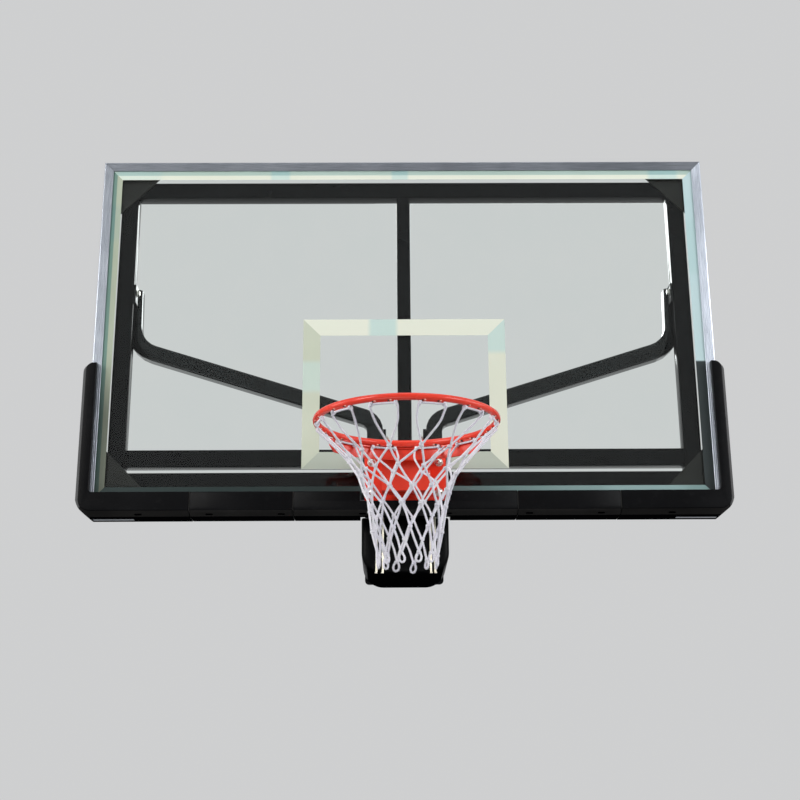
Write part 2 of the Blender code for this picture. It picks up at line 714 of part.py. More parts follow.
def rim_fixings():
    """The rubber sheets, and the bolts with their dome nuts that clamp the rim through the glass."""
    hole = BOLT_R + BOLT_PLAY
    front = rectangle((-SHEET_HALF_W, SHEET_BOTTOM), (SHEET_HALF_W, SHEET_TOP))
    prism("mount_gasket", [front] + bolt_holes(hole), FRONT, SHEET_FRONT, -GAP, RUBBER)
    rear = rectangle((-SHEET_HALF_W, BOLT_LOW + BOLT_R + REAR_SHEET_CLEAR), (SHEET_HALF_W, SHEET_TOP))
    upper = [circle((x, BOLT_HIGH), hole) for x in (-BOLT_X, BOLT_X)]
    prism("rear_gasket", [rear] + upper, FRONT, GLASS_T + GAP, TUBE_FRONT - GAP, RUBBER)

    head = ARM_PLATE_BACK + GAP
    washer = PLATE_FRONT - GAP
    nut_face = washer - WASHER_T - NUT_H
    for number, x, z in bolt_places():
        shank = head - nut_face
        profile = [(0, BOLT_HEAD_H), (BOLT_HEAD_R, BOLT_HEAD_H), (BOLT_HEAD_R, 0), (BOLT_R, 0),
                   (BOLT_R, -shank), (0, -shank)]
        turned(f"rim_bolt_{number}", profile, (-math.pi / 2, 0, 0), (x, head, z), ZINC)

        dome_steps = 3
        rise = NUT_R - NUT_DOME_R
        bore = BOLT_R + BOLT_PLAY
        profile = [(NUT_DOME_R * math.sin(math.pi / 2 * i / dome_steps),
                    WASHER_T + NUT_H + NUT_DOME_R * math.cos(math.pi / 2 * i / dome_steps))
                   for i in range(dome_steps + 1)]
        profile += [(NUT_R, WASHER_T + NUT_H - rise), (NUT_R, WASHER_T), (WASHER_R, WASHER_T),
                    (WASHER_R, 0), (bore, 0), (bore, WASHER_T + NUT_H + BOLT_PLAY),
                    (0, WASHER_T + NUT_H + BOLT_PLAY)]
        turned(f"dome_nut_{number}", profile, (math.pi / 2, 0, 0), (x, washer, z), ZINC)


def base_plate():
    """The plate on the glass, with its lower lip, the two ears for the pin and the spring studs."""
    outline = rectangle((-PLATE_HALF_W, PLATE_BOTTOM), (PLATE_HALF_W, PLATE_TOP), PLATE_CORNER_R, 4)
    plate = prism("base_plate", [outline] + bolt_holes(BOLT_R + BOLT_PLAY), FRONT,
                  PLATE_FRONT, PLATE_BACK, ORANGE)
    lip_reach = PLATE_HALF_W - PLATE_CORNER_R
    lip = box("plate_lip", (-lip_reach, PLATE_FRONT - LIP_OUT, PLATE_BOTTOM + GAP / 2),
              (lip_reach, PLATE_FRONT + WELD_LAP, PLATE_BOTTOM + LIP_T), None)
    join(plate, lip)
    ear_out = HOUSING_HALF_W - HOUSING_WALL - EAR_PLAY
    for side, sign in (("left", -1), ("right", 1)):
        outline = [(PLATE_FRONT + WELD_LAP, PIN_Z + EAR_NOSE_R)]
        outline += arc((PIN_Y, PIN_Z), EAR_NOSE_R, 90, 270, 10)
        outline += [(PLATE_FRONT + WELD_LAP, PIN_Z - EAR_NOSE_R)]
        lo, hi = sorted((sign * ear_out, sign * (ear_out - EAR_T)))
        bore = circle((PIN_Y, PIN_Z), PIN_R + PIN_PLAY)
        ear = prism(f"pin_ear_{side}", [outline, bore], SIDE, lo, hi, None)
        stud = cylinder(f"spring_stud_{side}", STUD_R, PLATE_FRONT - STUD_LENGTH, PLATE_FRONT + WELD_LAP, 1,
                        (sign * SPRING_X, SPRING_Z), None, steps=16)
        join(plate, ear, stud)


def housing():
    """The box that turns on the pin: front, two sides and bottom, open at the top and the rear."""
    outline = [(HOUSING_FRONT, HOUSING_BOTTOM), (HOUSING_TOE, HOUSING_BOTTOM), (HOUSING_BACK, PIN_Z),
               (HOUSING_BACK, HOUSING_TOP), (HOUSING_FRONT, HOUSING_TOP)]
    made = prism("rim_housing", [outline], SIDE, -HOUSING_HALF_W, HOUSING_HALF_W, ORANGE, rim)
    inner = HOUSING_HALF_W - HOUSING_WALL
    room = box("housing_room", (-inner, HOUSING_FRONT + HOUSING_WALL, HOUSING_BOTTOM + HOUSING_WALL),
               (inner, HOUSING_BACK + HOUSING_WALL, HOUSING_TOP + HOUSING_WALL), None, rim)
    bore = cylinder("housing_pin_bore", PIN_R + PIN_PLAY, -2 * HOUSING_HALF_W, 2 * HOUSING_HALF_W, 0,
                    (PIN_Y, PIN_Z), None, rim)
    cut(made, room, bore)

    reach = HOUSING_HALF_W + GAP
    profile = [(0, reach + PIN_HEAD_T), (PIN_HEAD_R, reach + PIN_HEAD_T), (PIN_HEAD_R, reach),
               (PIN_R, reach), (PIN_R, -reach), (PIN_HEAD_R, -reach),
               (PIN_HEAD_R, -reach - PIN_HEAD_T), (0, -reach - PIN_HEAD_T)]
    turned("hinge_pin", profile, (0, math.pi / 2, 0), (0, PIN_Y, PIN_Z), ZINC)


def ring_support():
    """The flat plate under the rear of the ring, and the curved skirt band under the plate."""
    inner = RING_R + SUPPORT_LAP
    steps = 24
    back = math.pi
    outline = [(-SUPPORT_BACK_HALF_W, SUPPORT_BACK)]
    for i in range(steps + 1):
        a = back + SKIRT_HALF_ARC * (1 - 2 * i / steps)
        radius = inner if 0 < i < steps else SKIRT_R
        outline.append(around_ring(radius, a, 0)[:2])
    outline.append((SUPPORT_BACK_HALF_W, SUPPORT_BACK))
    prism("support_plate", [outline], PLAN, SUPPORT_BOTTOM, SUPPORT_TOP, ORANGE, rim)

    mesh = bpy.data.meshes.new("skirt_band")
    work = bmesh.new()
    top = SUPPORT_BOTTOM - GAP
    corner_arc = SKIRT_CORNER / SKIRT_R
    columns = []
    for i in range(steps + 1):
        a = SKIRT_HALF_ARC * (2 * i / steps - 1)
        into_corner = max(1 - (SKIRT_HALF_ARC - abs(a)) / corner_arc, 0.0)
        low = SKIRT_BOTTOM + SKIRT_CORNER * (1 - math.sqrt(1 - into_corner ** 2))
        ends = [Vector(around_ring(SKIRT_R, back + a, z)) - PIN_AT for z in (low, top)]
        columns.append([work.verts.new(place) for place in ends])
    for first, second in zip(columns, columns[1:]):
        work.faces.new((first[0], second[0], second[1], first[1]))
    work.to_mesh(mesh)
    work.free()
    band = bpy.data.objects.new("skirt_band", mesh)
    wall = band.modifiers.new("wall", "SOLIDIFY")
    wall.thickness = SKIRT_T
    wall.offset = -1.0
    wall.use_even_offset = True
    put(band, ORANGE, rim, PIN_AT)


def ring():
    """The ring, with the twelve tabs that the net hangs from welded under it."""
    bpy.ops.mesh.primitive_torus_add(
        major_radius=RING_R, minor_radius=RING_TUBE_R, major_segments=60, minor_segments=8)
    made = bpy.context.object
    made.name = "ring"
    for home in list(made.users_collection):
        home.objects.unlink(made)
    smooth(made)
    put(made, ORANGE, rim, (0, RING_Y, RING_Z))

    tab_steps = 4
    loops = []
    for i in range(TABS):
        middle = 2 * math.pi * (i + 0.5) / TABS
        for_outer = []
        for_inner = []
        for j in range(tab_steps + 1):
            a = middle + TAB_ARC * (j / tab_steps - 0.5)
            for_outer.append(around_ring(TAB_R + TAB_T / 2, a, 0)[:2])
            for_inner.append(around_ring(TAB_R - TAB_T / 2, a, 0)[:2])
        loops.append(for_outer + for_inner[::-1])
    tabs = prism("net_tabs", loops, PLAN, TAB_BOTTOM, RING_Z - RING_TUBE_R + TAB_SINK, None, rim)
    join(made, tabs)


def net():
    """Two strands from each tab, which cross the others at six rows of knots, and twelve end loops."""
    spacing = 2 * math.pi / TABS
    strands = {1: [], -1: []}
    runs = []
    loops = []
    for i in range(TABS):
        middle = spacing * (i + 0.5)
        ends = []
        for way in (1, -1):
            start = middle - way * TAB_ARC / 2
            route = [around_ring(TAB_R, start, NET_TOP)]
            for row, (height, radius, lean) in enumerate(KNOT_ROWS):
                a = middle + way * spacing * row / 2 + math.radians(lean)
                route.append(around_ring(radius + way * CROSSING_OFFSET, a, height))
            strands[way].append(route)
            ends.append(start)
        lap = CORD_R / TAB_R
        runs.append([around_ring(TAB_R, ends[0] - lap, NET_TOP),
                     around_ring(TAB_R, middle, NET_TOP),
                     around_ring(TAB_R, ends[1] + lap, NET_TOP)])

        height, radius, lean = KNOT_ROWS[-1]
        a = middle + spacing / 2 * (len(KNOT_ROWS) - 1) + math.radians(lean)
        loop = []
        for j in range(LOOP_POINTS):
            turn = 2 * math.pi * (j + 0.5) / LOOP_POINTS
            along = (LOOP_W / 2 - CORD_R) * math.sin(turn)
            drop = (LOOP_H / 2 - CORD_R) * (1 - math.cos(turn))
            loop.append(around_ring(radius, a + along / radius, height - drop))
        loops.append(loop)

    def local(routes):
        return [[tuple(Vector(p) - PIN_AT) for p in route] for route in routes]

    made = tubes("net", local(strands[1]), CORD_R, False, CORD, rim)
    join(made,
         tubes("net_strands_back", local(strands[-1]), CORD_R, False, None, rim),
         tubes("net_tab_runs", local(runs), CORD_R, False, None, rim),
         tubes("net_loops", local(loops), CORD_R, True, None, rim))


def springs():
    """Two coil springs between the base plate and the front of the housing, below the pin."""
    start = PLATE_FRONT - GAP - SPRING_WIRE_R
    end = HOUSING_FRONT + HOUSING_WALL + GAP + SPRING_WIRE_R
    count = SPRING_TURNS * POINTS_A_TURN
    for side, sign in (("left", -1), ("right", 1)):
        route = []
        for i in range(count + 1):
            a = 2 * math.pi * i / POINTS_A_TURN
            route.append((sign * SPRING_X + SPRING_R * math.cos(a), start + (end - start) * i / count,
                          SPRING_Z + SPRING_R * math.sin(a)))
        tubes(f"spring_{side}", [route], SPRING_WIRE_R, False, ZINC)
        print(f"spring_{side}: least gap between turns {1000 * least_gap(route):.2f} mm")


def least_gap(route):
    """The least clear distance between points of a coil that lie more than half a turn apart."""
    points = [Vector(place) for place in route]
    least = math.inf
    for i, here in enumerate(points):
        for other in points[i + POINTS_A_TURN // 2 + 1:]:
            least = min(least, (here - other).length)
    return least - 2 * SPRING_WIRE_R


def arm_head():
    """The weldment at the arm's end: head plate, neck, boom and lugs, and the flange that is the mount."""
    wall = BOOM_WALL
    lap = WELD_LAP
    side = [(ARM_PLATE_BACK - lap, NECK_BOTTOM), (BOOM_FRONT, NECK_BOTTOM), (BOOM_FRONT, BOOM_BOTTOM),
            (FLANGE_FRONT + lap, BOOM_BOTTOM), (FLANGE_FRONT + lap, BOOM_TOP), (SLOPE_BACK, BOOM_TOP),
            (NECK_BACK, ARM_PLATE_TOP - ARM_TOP_T + lap),
            (ARM_PLATE_BACK - lap, ARM_PLATE_TOP - ARM_TOP_T + lap)]
    made = prism("arm_head", [side], SIDE, -BOOM_HALF_W, BOOM_HALF_W, BLACK_STEEL)
    inner = BOOM_HALF_W - wall
    cut(made, prism("boom_room", [inset(side, wall)], SIDE, -inner, inner, None))

    plate = rectangle((-ARM_PLATE_HALF_W, ARM_PLATE_BOTTOM), (ARM_PLATE_HALF_W, ARM_PLATE_TOP))
    front = prism("head_plate", [plate] + bolt_holes(BOLT_R + BOLT_PLAY), FRONT,
                  TUBE_FRONT, ARM_PLATE_BACK, None)
    top = box("head_top", (-ARM_PLATE_HALF_W, TUBE_FRONT, ARM_PLATE_TOP - ARM_TOP_T),
              (ARM_PLATE_HALF_W, ARM_TOP_BACK, ARM_PLATE_TOP), None)
    centre_z = -ARM_DROP
    flange_face = rectangle((-FLANGE_HALF_W, centre_z - FLANGE_HALF_H),
                            (FLANGE_HALF_W, centre_z + FLANGE_HALF_H), FLANGE_CORNER_R, 4)
    holes = [circle((x, centre_z + rise), FLANGE_HOLE_R)
             for x in (-FLANGE_BOLT_X, FLANGE_BOLT_X)
             for rise in (-FLANGE_BOLT_RISE, 0, FLANGE_BOLT_RISE)]
    flange = prism("rear_flange", [flange_face] + holes, FRONT, FLANGE_FRONT, ARM_REACH, None)
    join(made, front, top, flange)

    for name, sign in (("left", -1), ("right", 1)):
        lo, hi = sorted((sign * ARM_PLATE_HALF_W, sign * (ARM_PLATE_HALF_W - ARM_CHEEK_T)))
        cheek = box(f"head_cheek_{name}", (lo, ARM_PLATE_BACK - lap, SUBFRAME_BOTTOM - lap),
                    (hi, TUBE_BACK, ARM_PLATE_TOP - lap), None)
        brace_face = BRACE_ANKLE[0] - BRACE / 2 - GAP
        lo, hi = sorted((sign * brace_face, sign * (brace_face - LUG_T)))
        lug = box(f"brace_lug_{name}", (lo, LUG_FRONT, ARM_PLATE_TOP - lap),
                  (hi, LUG_BACK, ARM_PLATE_TOP + LUG_H), None)
        rods = [x for x in ROD_X if x * sign > 0]
        lo = min(rods) - ROD_LUG_MARGIN
        hi = max(rods) + ROD_LUG_MARGIN
        near = BOOM_HALF_W - ROD_LUG_MARGIN
        lo, hi = (lo, max(hi, -near)) if sign < 0 else (min(lo, near), hi)
        shelf = box(f"rod_shelf_{name}", (lo, ROD_Y - ROD_LUG_MARGIN, NECK_BOTTOM - ROD_LUG_T),
                    (hi, ROD_Y + ROD_LUG_BACK, NECK_BOTTOM + lap), None)
        join(made, cheek, lug, shelf)
        cut(made, brace_foot_hole(f"{name}_lug", sign))
    cut(made, cylinder("hand_hole", HAND_HOLE_R, -2 * BOOM_HALF_W, 2 * BOOM_HALF_W, 0,
                       (HAND_HOLE_Y, HAND_HOLE_Z), None))


def arm_pad():
    """The foam boot that wraps the front, sides and underside of the boom, and the rods before it."""
    half = BOOM_HALF_W + ARM_PAD_T
    low = BOOM_BOTTOM - ARM_PAD_T
    radius = ARM_PAD_CORNER_R
    outline = [(half, ARM_PAD_TOP), (-half, ARM_PAD_TOP)]
    outline += arc((-half + radius, low + radius), radius, 180, 270, 6)
    outline += arc((half - radius, low + radius), radius, 270, 360, 6)
    made = prism("arm_pad", [outline], FRONT, ARM_PAD_FRONT, ARM_PAD_BACK, FOAM)
    room = box("boom_cavity", (-BOOM_HALF_W - GAP, BOOM_FRONT - GAP, BOOM_BOTTOM - GAP),
               (BOOM_HALF_W + GAP, ARM_PAD_BACK + ARM_PAD_T, ARM_PAD_TOP + ARM_PAD_T), None)
    cut(made, room)

    top = NECK_BOTTOM - ROD_LUG_T - GAP
    for number, x in enumerate(ROD_X, 1):
        profile = [(0, top), (ROD_COLLAR_R, top), (ROD_COLLAR_R, top - ROD_COLLAR_H),
                   (ROD_R, top - ROD_COLLAR_H), (ROD_R, ROD_BOTTOM), (0, ROD_BOTTOM)]
        turned(f"hanging_rod_{number}", profile, (0, 0, 0), (x, ROD_Y, 0), ZINC, steps=12)


def pad_holes(name, xs):
    """The oval holes in the sloping strip of a pad."""
    half = PAD_HOLE_W / 2
    radius = PAD_HOLE_H / 2
    z = PAD_BOTTOM + PAD_HOLE_RISE
    y = PAD_FRONT + PAD_STRIP_DEPTH / 2
    loops = []
    for x in xs:
        loops.append(arc((x - half + radius, z), radius, 90, 270, 5)
                     + arc((x + half - radius, z), radius, -90, 90, 5))
    return prism(name, loops, FRONT, PAD_FRONT - PAD_HOLE_DEPTH, y + PAD_HOLE_DEPTH, None)


def bottom_pad(name, lo, hi):
    """A straight pad from lo to hi, with a strip under its front face that slopes back to the bottom."""
    r = PAD_EDGE_R
    strip_y = PAD_FRONT + PAD_STRIP_DEPTH
    strip_z = PAD_BOTTOM + PAD_STRIP_RISE
    section = [(PAD_FRONT, strip_z), (strip_y, PAD_BOTTOM)]
    section += arc((PAD_BACK - r, PAD_BOTTOM + r), r, -90, 0, 2)
    section += arc((PAD_BACK - r, PAD_TOP - r), r, 0, 90, 2)
    section += arc((PAD_FRONT + r, PAD_TOP - r), r, 90, 180, 2)
    return prism(name, [section], SIDE, lo, hi, FOAM)


def corner_pad(name, sign):
    """An L-shaped pad, from layers of its outline: its front face is smaller by the sloping strip."""
    seam = PAD_SEAM + 2 * GAP
    steps = len(PAD_LOW_CORNER) - 1
    inner = arc((PAD_INNER - PAD_INNER_R, PAD_TOP + PAD_INNER_R), PAD_INNER_R, 0, -90, 3)
    outer = [(seam, PAD_BOTTOM)] + [(PAD_HALF_W - x, PAD_BOTTOM + z) for x, z in PAD_LOW_CORNER]
    r = PAD_TOP_CORNER_R
    outer += arc((PAD_HALF_W - r, PAD_SIDE_TOP - r), r, 0, 90, 5)
    outer += [(PAD_INNER, PAD_SIDE_TOP)] + inner + [(seam, PAD_TOP)]
    side = PAD_HALF_W - PAD_STRIP_RISE
    low = PAD_BOTTOM + PAD_STRIP_RISE
    r = PAD_FACE_CORNER_R
    face = [(seam, low)] + arc((side - r, low + r), r, -90, 0, steps)
    face_top = PAD_SIDE_TOP - PAD_TOP_STRIP
    r = PAD_TOP_CORNER_R - PAD_TOP_STRIP
    face += arc((side - r, face_top - r), r, 0, 90, 5)
    face += [(PAD_INNER, face_top)] + inner + [(seam, PAD_TOP)]
    layers = ((PAD_FRONT, face), (PAD_FRONT + PAD_STRIP_DEPTH, outer), (PAD_BACK - PAD_EDGE_R, outer),
              (PAD_BACK, inset(outer, PAD_EDGE_R)))
    mesh = bpy.data.meshes.new(name)
    work = bmesh.new()
    rings = [[work.verts.new((sign * x, y, z)) for x, z in outline] for y, outline in layers]
    for first, second in zip(rings, rings[1:]):
        for i in range(len(first)):
            j = (i + 1) % len(first)
            work.faces.new((first[i], first[j], second[j], second[i]))
    work.faces.new(rings[0])
    work.faces.new(rings[-1])
    bmesh.ops.recalc_face_normals(work, faces=work.faces)
    work.to_mesh(mesh)
    work.free()
    return put(bpy.data.objects.new(name, mesh), FOAM)


def edge_pads():
    """The pads on the board's lower edge and lower corners, with the groove that grips the frame."""
    grip = 2 * GAP
    groove_lo = (-FRAME_HALF_W - GAP, FRAME_FRONT - GAP, FRAME_BOTTOM - GAP)
    groove_hi = (FRAME_HALF_W + GAP, FRAME_BACK + GAP, PAD_SIDE_TOP + PAD_EDGE_R)
    spans = (
        ("pad_bottom_left", -PAD_SEAM + grip, -PAD_MIDDLE_HALF_W - grip),
        ("pad_bottom_centre", -PAD_MIDDLE_HALF_W + grip, PAD_MIDDLE_HALF_W - grip),
        ("pad_bottom_right", PAD_MIDDLE_HALF_W + grip, PAD_SEAM - grip),
    )
    for name, lo, hi in spans:
        made = bottom_pad(name, lo, hi)
        cut(made, box(f"{name}_groove", groove_lo, groove_hi, None))
        if lo < 0 < hi:
            half = PAD_NOTCH_HALF_W
            past = PAD_TOP + PAD_EDGE_R
            front_lo = (-half, PAD_FRONT - PAD_EDGE_R, PAD_NOTCH_Z)
            rear_lo = (-half, PAD_ARM_NOTCH_Y, PAD_BOTTOM - PAD_EDGE_R)
            cut(made, box("plate_notch", front_lo, (half, FRAME_FRONT, past), None),
                box("arm_notch", rear_lo, (half, PAD_BACK + PAD_EDGE_R, past), None))
        holes = [x for reach in PAD_HOLE_X for x in (-reach, reach) if lo < x < hi]
        cut(made, pad_holes(f"{name}_holes", holes))

    for side, sign in (("left", -1), ("right", 1)):
        name = f"pad_corner_{side}"
        made = corner_pad(name, sign)
        cut(made, box(f"{name}_groove", groove_lo, groove_hi, None))
        cut(made, pad_holes(f"{name}_holes", [sign * x for x in PAD_HOLE_X if x > PAD_SEAM]))


glazing()
subframe()
braces()
rim_fixings()
base_plate()
housing()
ring_support()
ring()
net()
springs()
arm_head()
arm_pad()
edge_pads()
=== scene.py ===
import json
import math
import random

import bmesh
import bpy
from mathutils import Matrix, Vector


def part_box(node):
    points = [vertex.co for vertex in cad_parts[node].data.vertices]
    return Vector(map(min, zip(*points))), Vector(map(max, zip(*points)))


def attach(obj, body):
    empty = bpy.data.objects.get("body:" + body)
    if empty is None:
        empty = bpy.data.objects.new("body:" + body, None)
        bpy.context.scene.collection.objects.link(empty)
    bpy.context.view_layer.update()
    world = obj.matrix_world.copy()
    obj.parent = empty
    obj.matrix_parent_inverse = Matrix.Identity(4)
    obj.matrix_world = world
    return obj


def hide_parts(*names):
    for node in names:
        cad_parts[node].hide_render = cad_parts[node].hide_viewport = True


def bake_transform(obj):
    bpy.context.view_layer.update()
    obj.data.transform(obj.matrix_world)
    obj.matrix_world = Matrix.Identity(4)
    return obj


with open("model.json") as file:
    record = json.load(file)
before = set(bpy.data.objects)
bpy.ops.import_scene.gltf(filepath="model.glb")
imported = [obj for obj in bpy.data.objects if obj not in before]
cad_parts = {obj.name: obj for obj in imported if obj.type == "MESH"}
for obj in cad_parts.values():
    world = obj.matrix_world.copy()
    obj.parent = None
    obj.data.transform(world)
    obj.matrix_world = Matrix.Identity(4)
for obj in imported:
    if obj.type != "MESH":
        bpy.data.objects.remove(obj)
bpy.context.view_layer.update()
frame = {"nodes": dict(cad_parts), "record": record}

MM = 0.001
NODES = frame["nodes"]
GLASS_LO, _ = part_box("glass_panel")
BOARD = Vector((0.0, GLASS_LO.y, GLASS_LO.z))
SIDES = (("left", -1), ("right", 1))
dice = random.Random(7)

# Camera, fitted to the corners of the frame, the border and the square in the photograph
CAMERA_AT = (-48.5, -3810.4, -788.1)
CAMERA_PITCH = 0.3081
CAMERA_YAW = 0.0094
CAMERA_ROLL = 0.0062
CAMERA_LENS = 61.80
CAMERA_SHIFT_Y = -0.05

# Stage and light
RING_ABOVE_FLOOR = 3050.0
FLOOR_HALF = 14000.0
PALE = (0.62, 0.625, 0.63)
AMBIENT = (0.30, 0.305, 0.31)

# Glass, its printed lines and its frame
GLASS_W = 1800.0
GLASS_H = 1050.0
LINE_W = 50.0
LINE_FRONT = -0.20
LINE_BACK = -0.06
SQUARE_W = 590.0
SQUARE_LOW = 100.0
SQUARE_HIGH = 550.0
RAIL_OUT = 6.0
RAIL_FACE = 28.0
RAIL_WALL = 3.0
RAIL_FRONT = -5.1
RAIL_BACK = 17.1
RAIL_R = 2.6
RAIL_GROOVES = 5
RAIL_GROOVE_DEEP = 0.45
NOTCH_HALF = 126.2
NOTCH_Z = 9.6

# Ring and net
RING_Y = -376.0
RING_Z = 138.0
RING_R = 234.0
RING_TUBE_R = 9.0
TABS = 12
TAB_ARC = math.radians(17.0)
TAB_T = 4.0
TAB_LOW = 127.0
CORD_R = 2.75
NET_TOP = 123.8
KNOT_ROWS = (
    (40.0, 155.0, -2.0), (-3.0, 125.0, -10.0), (-51.0, 109.0, -11.0),
    (-93.0, 98.0, -11.0), (-152.0, 87.0, -11.0), (-215.0, 76.0, -11.0),
)


def at(x, y, z):
    """A place in millimetres of the board, as metres of the frame."""
    return BOARD + Vector((x, y, z)) * MM


def round_ring(radius, angle, z):
    """A place at an angle from the ring's front, towards +X, in millimetres of the board."""
    return Vector((radius * math.sin(angle), RING_Y - radius * math.cos(angle), z))


# ---- materials


class Paint:
    """A material in the making: a Principled shader, and the nodes that feed it."""

    def __init__(self, name, **values):
        self.material = bpy.data.materials.new(name)
        self.material.use_nodes = True
        self.tree = self.material.node_tree
        self.shader = self.tree.nodes["Principled BSDF"]
        self.set(**values)
        self.place = self.add("TexCoord").outputs["Object"]

    def feed(self, socket, value):
        """Links an output to a socket, or sets a number or a colour on it."""
        if isinstance(value, bpy.types.NodeSocket):
            self.tree.links.new(value, socket)
        else:
            socket.default_value = value

    def set(self, **values):
        for name, value in values.items():
            self.feed(self.shader.inputs[name.replace("_", " ")], value)

    def add(self, kind, inputs=None, **settings):
        made = self.tree.nodes.new("ShaderNode" + kind)
        for name, value in settings.items():
            setattr(made, name, value)
        for name, value in (inputs or {}).items():
            self.feed(made.inputs[name], value)
        return made

    def stretched(self, x, y, z):
        """Object coordinates, stretched to make grain that runs one way."""
        return self.add("Mapping", {"Vector": self.place, "Scale": (x, y, z)}).outputs[0]

    def noise(self, scale, detail=3.0, place=None, roughness=0.55):
        made = self.add("TexNoise", {"Vector": place or self.place, "Scale": scale,
                                     "Detail": detail, "Roughness": roughness})
        return made.outputs["Fac"]

    def cells(self, scale):
        made = self.add("TexVoronoi", {"Vector": self.place, "Scale": scale}, feature="SMOOTH_F1")
        return made.outputs["Distance"]

    def span(self, value, ends, results, kind="SMOOTHSTEP"):
        """Maps a value between two ends onto two results, and holds it beyond the ends."""
        made = self.add("MapRange", {"Value": value, "From Min": ends[0], "From Max": ends[1],
                                     "To Min": results[0], "To Max": results[1]}, interpolation_type=kind)
        return made.outputs[0]

    def ramp(self, factor, *stops):
        """Colours or greys along a factor. Each stop is its place and its colour or grey."""
        made = self.add("ValToRGB", {"Fac": factor})
        band = made.color_ramp
        while len(band.elements) < len(stops):
            band.elements.new(0.5)
        for element, (where, colour) in zip(band.elements, stops):
            element.position = where
            if isinstance(colour, float):
                colour = (colour, colour, colour)
            element.color = (*colour, 1.0)
        return made.outputs["Color"]

    def maths(self, operation, a, b=0.0):
        return self.add("Math", {0: a, 1: b}, operation=operation).outputs[0]

    def mix(self, factor, a, b, blend="MIX"):
        made = self.add("Mix", {"Factor": factor}, data_type="RGBA", blend_type=blend)
        for socket, value in ((made.inputs[6], a), (made.inputs[7], b)):
            self.feed(socket, (*value, 1.0) if isinstance(value, tuple) else value)
        return made.outputs[2]

    def bump(self, height, strength, distance, under=None):
        inputs = {"Height": height, "Strength": strength, "Distance": distance}
        if under is not None:
            inputs["Normal"] = under
        return self.add("Bump", inputs).outputs[0]


def clear_glass():
    """Tempered glass with a faint green in it.

    Its index is low, so that the pale studio in its faces doesn't veil the black steel behind it.
    """
    made = Paint("clear_glass", Transmission_Weight=1.0, IOR=1.24)
    haze = made.noise(9.0, 4.0)
    made.set(Base_Color=made.ramp(haze, (0.3, (0.925, 0.975, 0.955)), (0.7, (0.945, 0.985, 0.965))),
             Roughness=0.0)
    return made.material


def brushed_aluminium(name, stretch, tone):
    """Satin aluminium whose brushing runs along the rail. Its tone is a share of the plain metal's, painted
    light above one and painted shade below it.
    """
    made = Paint(name, Metallic=1.0)
    lines = made.noise(950.0, 2.0, made.stretched(*stretch))
    patches = made.noise(7.0, 3.0)
    dark = tuple(tone * value for value in (0.30, 0.325, 0.365))
    light = tuple(min(tone * value, 0.97) for value in (0.46, 0.49, 0.545))
    grain = made.ramp(lines, (0.30, dark), (0.65, light))
    dull = made.ramp(patches, (0.3, (0.84, 0.85, 0.86)), (0.7, (1.0, 1.0, 1.0)))
    made.set(Base_Color=made.mix(1.0, grain, dull, "MULTIPLY"),
             Roughness=made.ramp(patches, (0.3, 0.30), (0.7, 0.42)),
             Normal=made.bump(lines, 0.25, 0.0002))
    return made.material


def powder_coat(name, dark, light, rough, wear=None, peel=420.0, depth=0.00022, shine=0.5, coat=0.15):
    """Gloss powder coat: orange peel, slow changes of tone, and small rubbed spots where there is wear."""
    made = Paint(name, Coat_Weight=coat, Coat_Roughness=0.12, Specular_IOR_Level=shine)
    slow = made.noise(6.0, 4.0)
    skin = made.noise(peel, 2.0)
    colour = made.ramp(slow, (0.32, dark), (0.68, light))
    gloss = made.ramp(slow, (0.3, rough), (0.75, rough + 0.10))
    if wear:
        rubs = made.ramp(made.noise(55.0, 6.0, roughness=0.7), (0.66, 0.0), (0.72, 1.0))
        colour = made.mix(made.maths("MULTIPLY", rubs, 0.35), colour, wear)
    made.set(Base_Color=colour, Roughness=gloss, Normal=made.bump(skin, 0.18, depth))
    return made.material


def plated(name, dark, light, rough):
    """Bright zinc plate, slightly mottled."""
    made = Paint(name, Metallic=1.0)
    mottle = made.noise(240.0, 5.0)
    made.set(Base_Color=made.ramp(mottle, (0.3, dark), (0.7, light)),
             Roughness=made.ramp(mottle, (0.3, rough), (0.7, rough + 0.16)),
             Normal=made.bump(made.noise(1400.0, 2.0), 0.10, 0.0001))
    return made.material


def foam_skin(name, dark, light, rough, side_shine=0.07):
    """The moulded skin of a foam pad: fine leather-like grain, and slow dull patches.

    Its sides are rubbed smoother than its front, and its underside is dull.
    """
    made = Paint(name)
    facing = made.add("SeparateXYZ", {0: made.add("TexCoord").outputs["Normal"]})
    aside = made.maths("ABSOLUTE", facing.outputs[0])
    rubbed = made.ramp(aside, (0.55, 0.07), (0.80, side_shine))
    under = made.ramp(made.maths("MULTIPLY", facing.outputs[2], -1.0), (0.25, 1.0), (0.65, 0.0))
    made.set(Specular_IOR_Level=made.mix(1.0, rubbed, under, "MULTIPLY"))
    pores = made.cells(620.0)
    fine = made.noise(1500.0, 3.0)
    slow = made.noise(5.5, 5.0, roughness=0.6)
    dust = made.ramp(made.noise(38.0, 8.0, roughness=0.75), (0.55, 0.0), (0.85, 0.5))
    colour = made.mix(dust, made.ramp(slow, (0.3, dark), (0.7, light)), (0.016, 0.016, 0.017))
    first = made.bump(pores, 0.32, 0.00035)
    made.set(Base_Color=colour, Roughness=made.ramp(slow, (0.3, rough), (0.7, rough + 0.13)),
             Normal=made.bump(fine, 0.18, 0.0001, first))
    return made.material


def plain_grain(name, dark, light, rough):
    """A matt material with fine grain, for rubber and nylon."""
    made = Paint(name)
    grain = made.noise(300.0, 5.0)
    made.set(Base_Color=made.ramp(grain, (0.3, dark), (0.7, light)),
             Roughness=made.ramp(grain, (0.3, rough), (0.7, rough + 0.12)),
             Normal=made.bump(grain, 0.2, 0.0002))
    return made.material


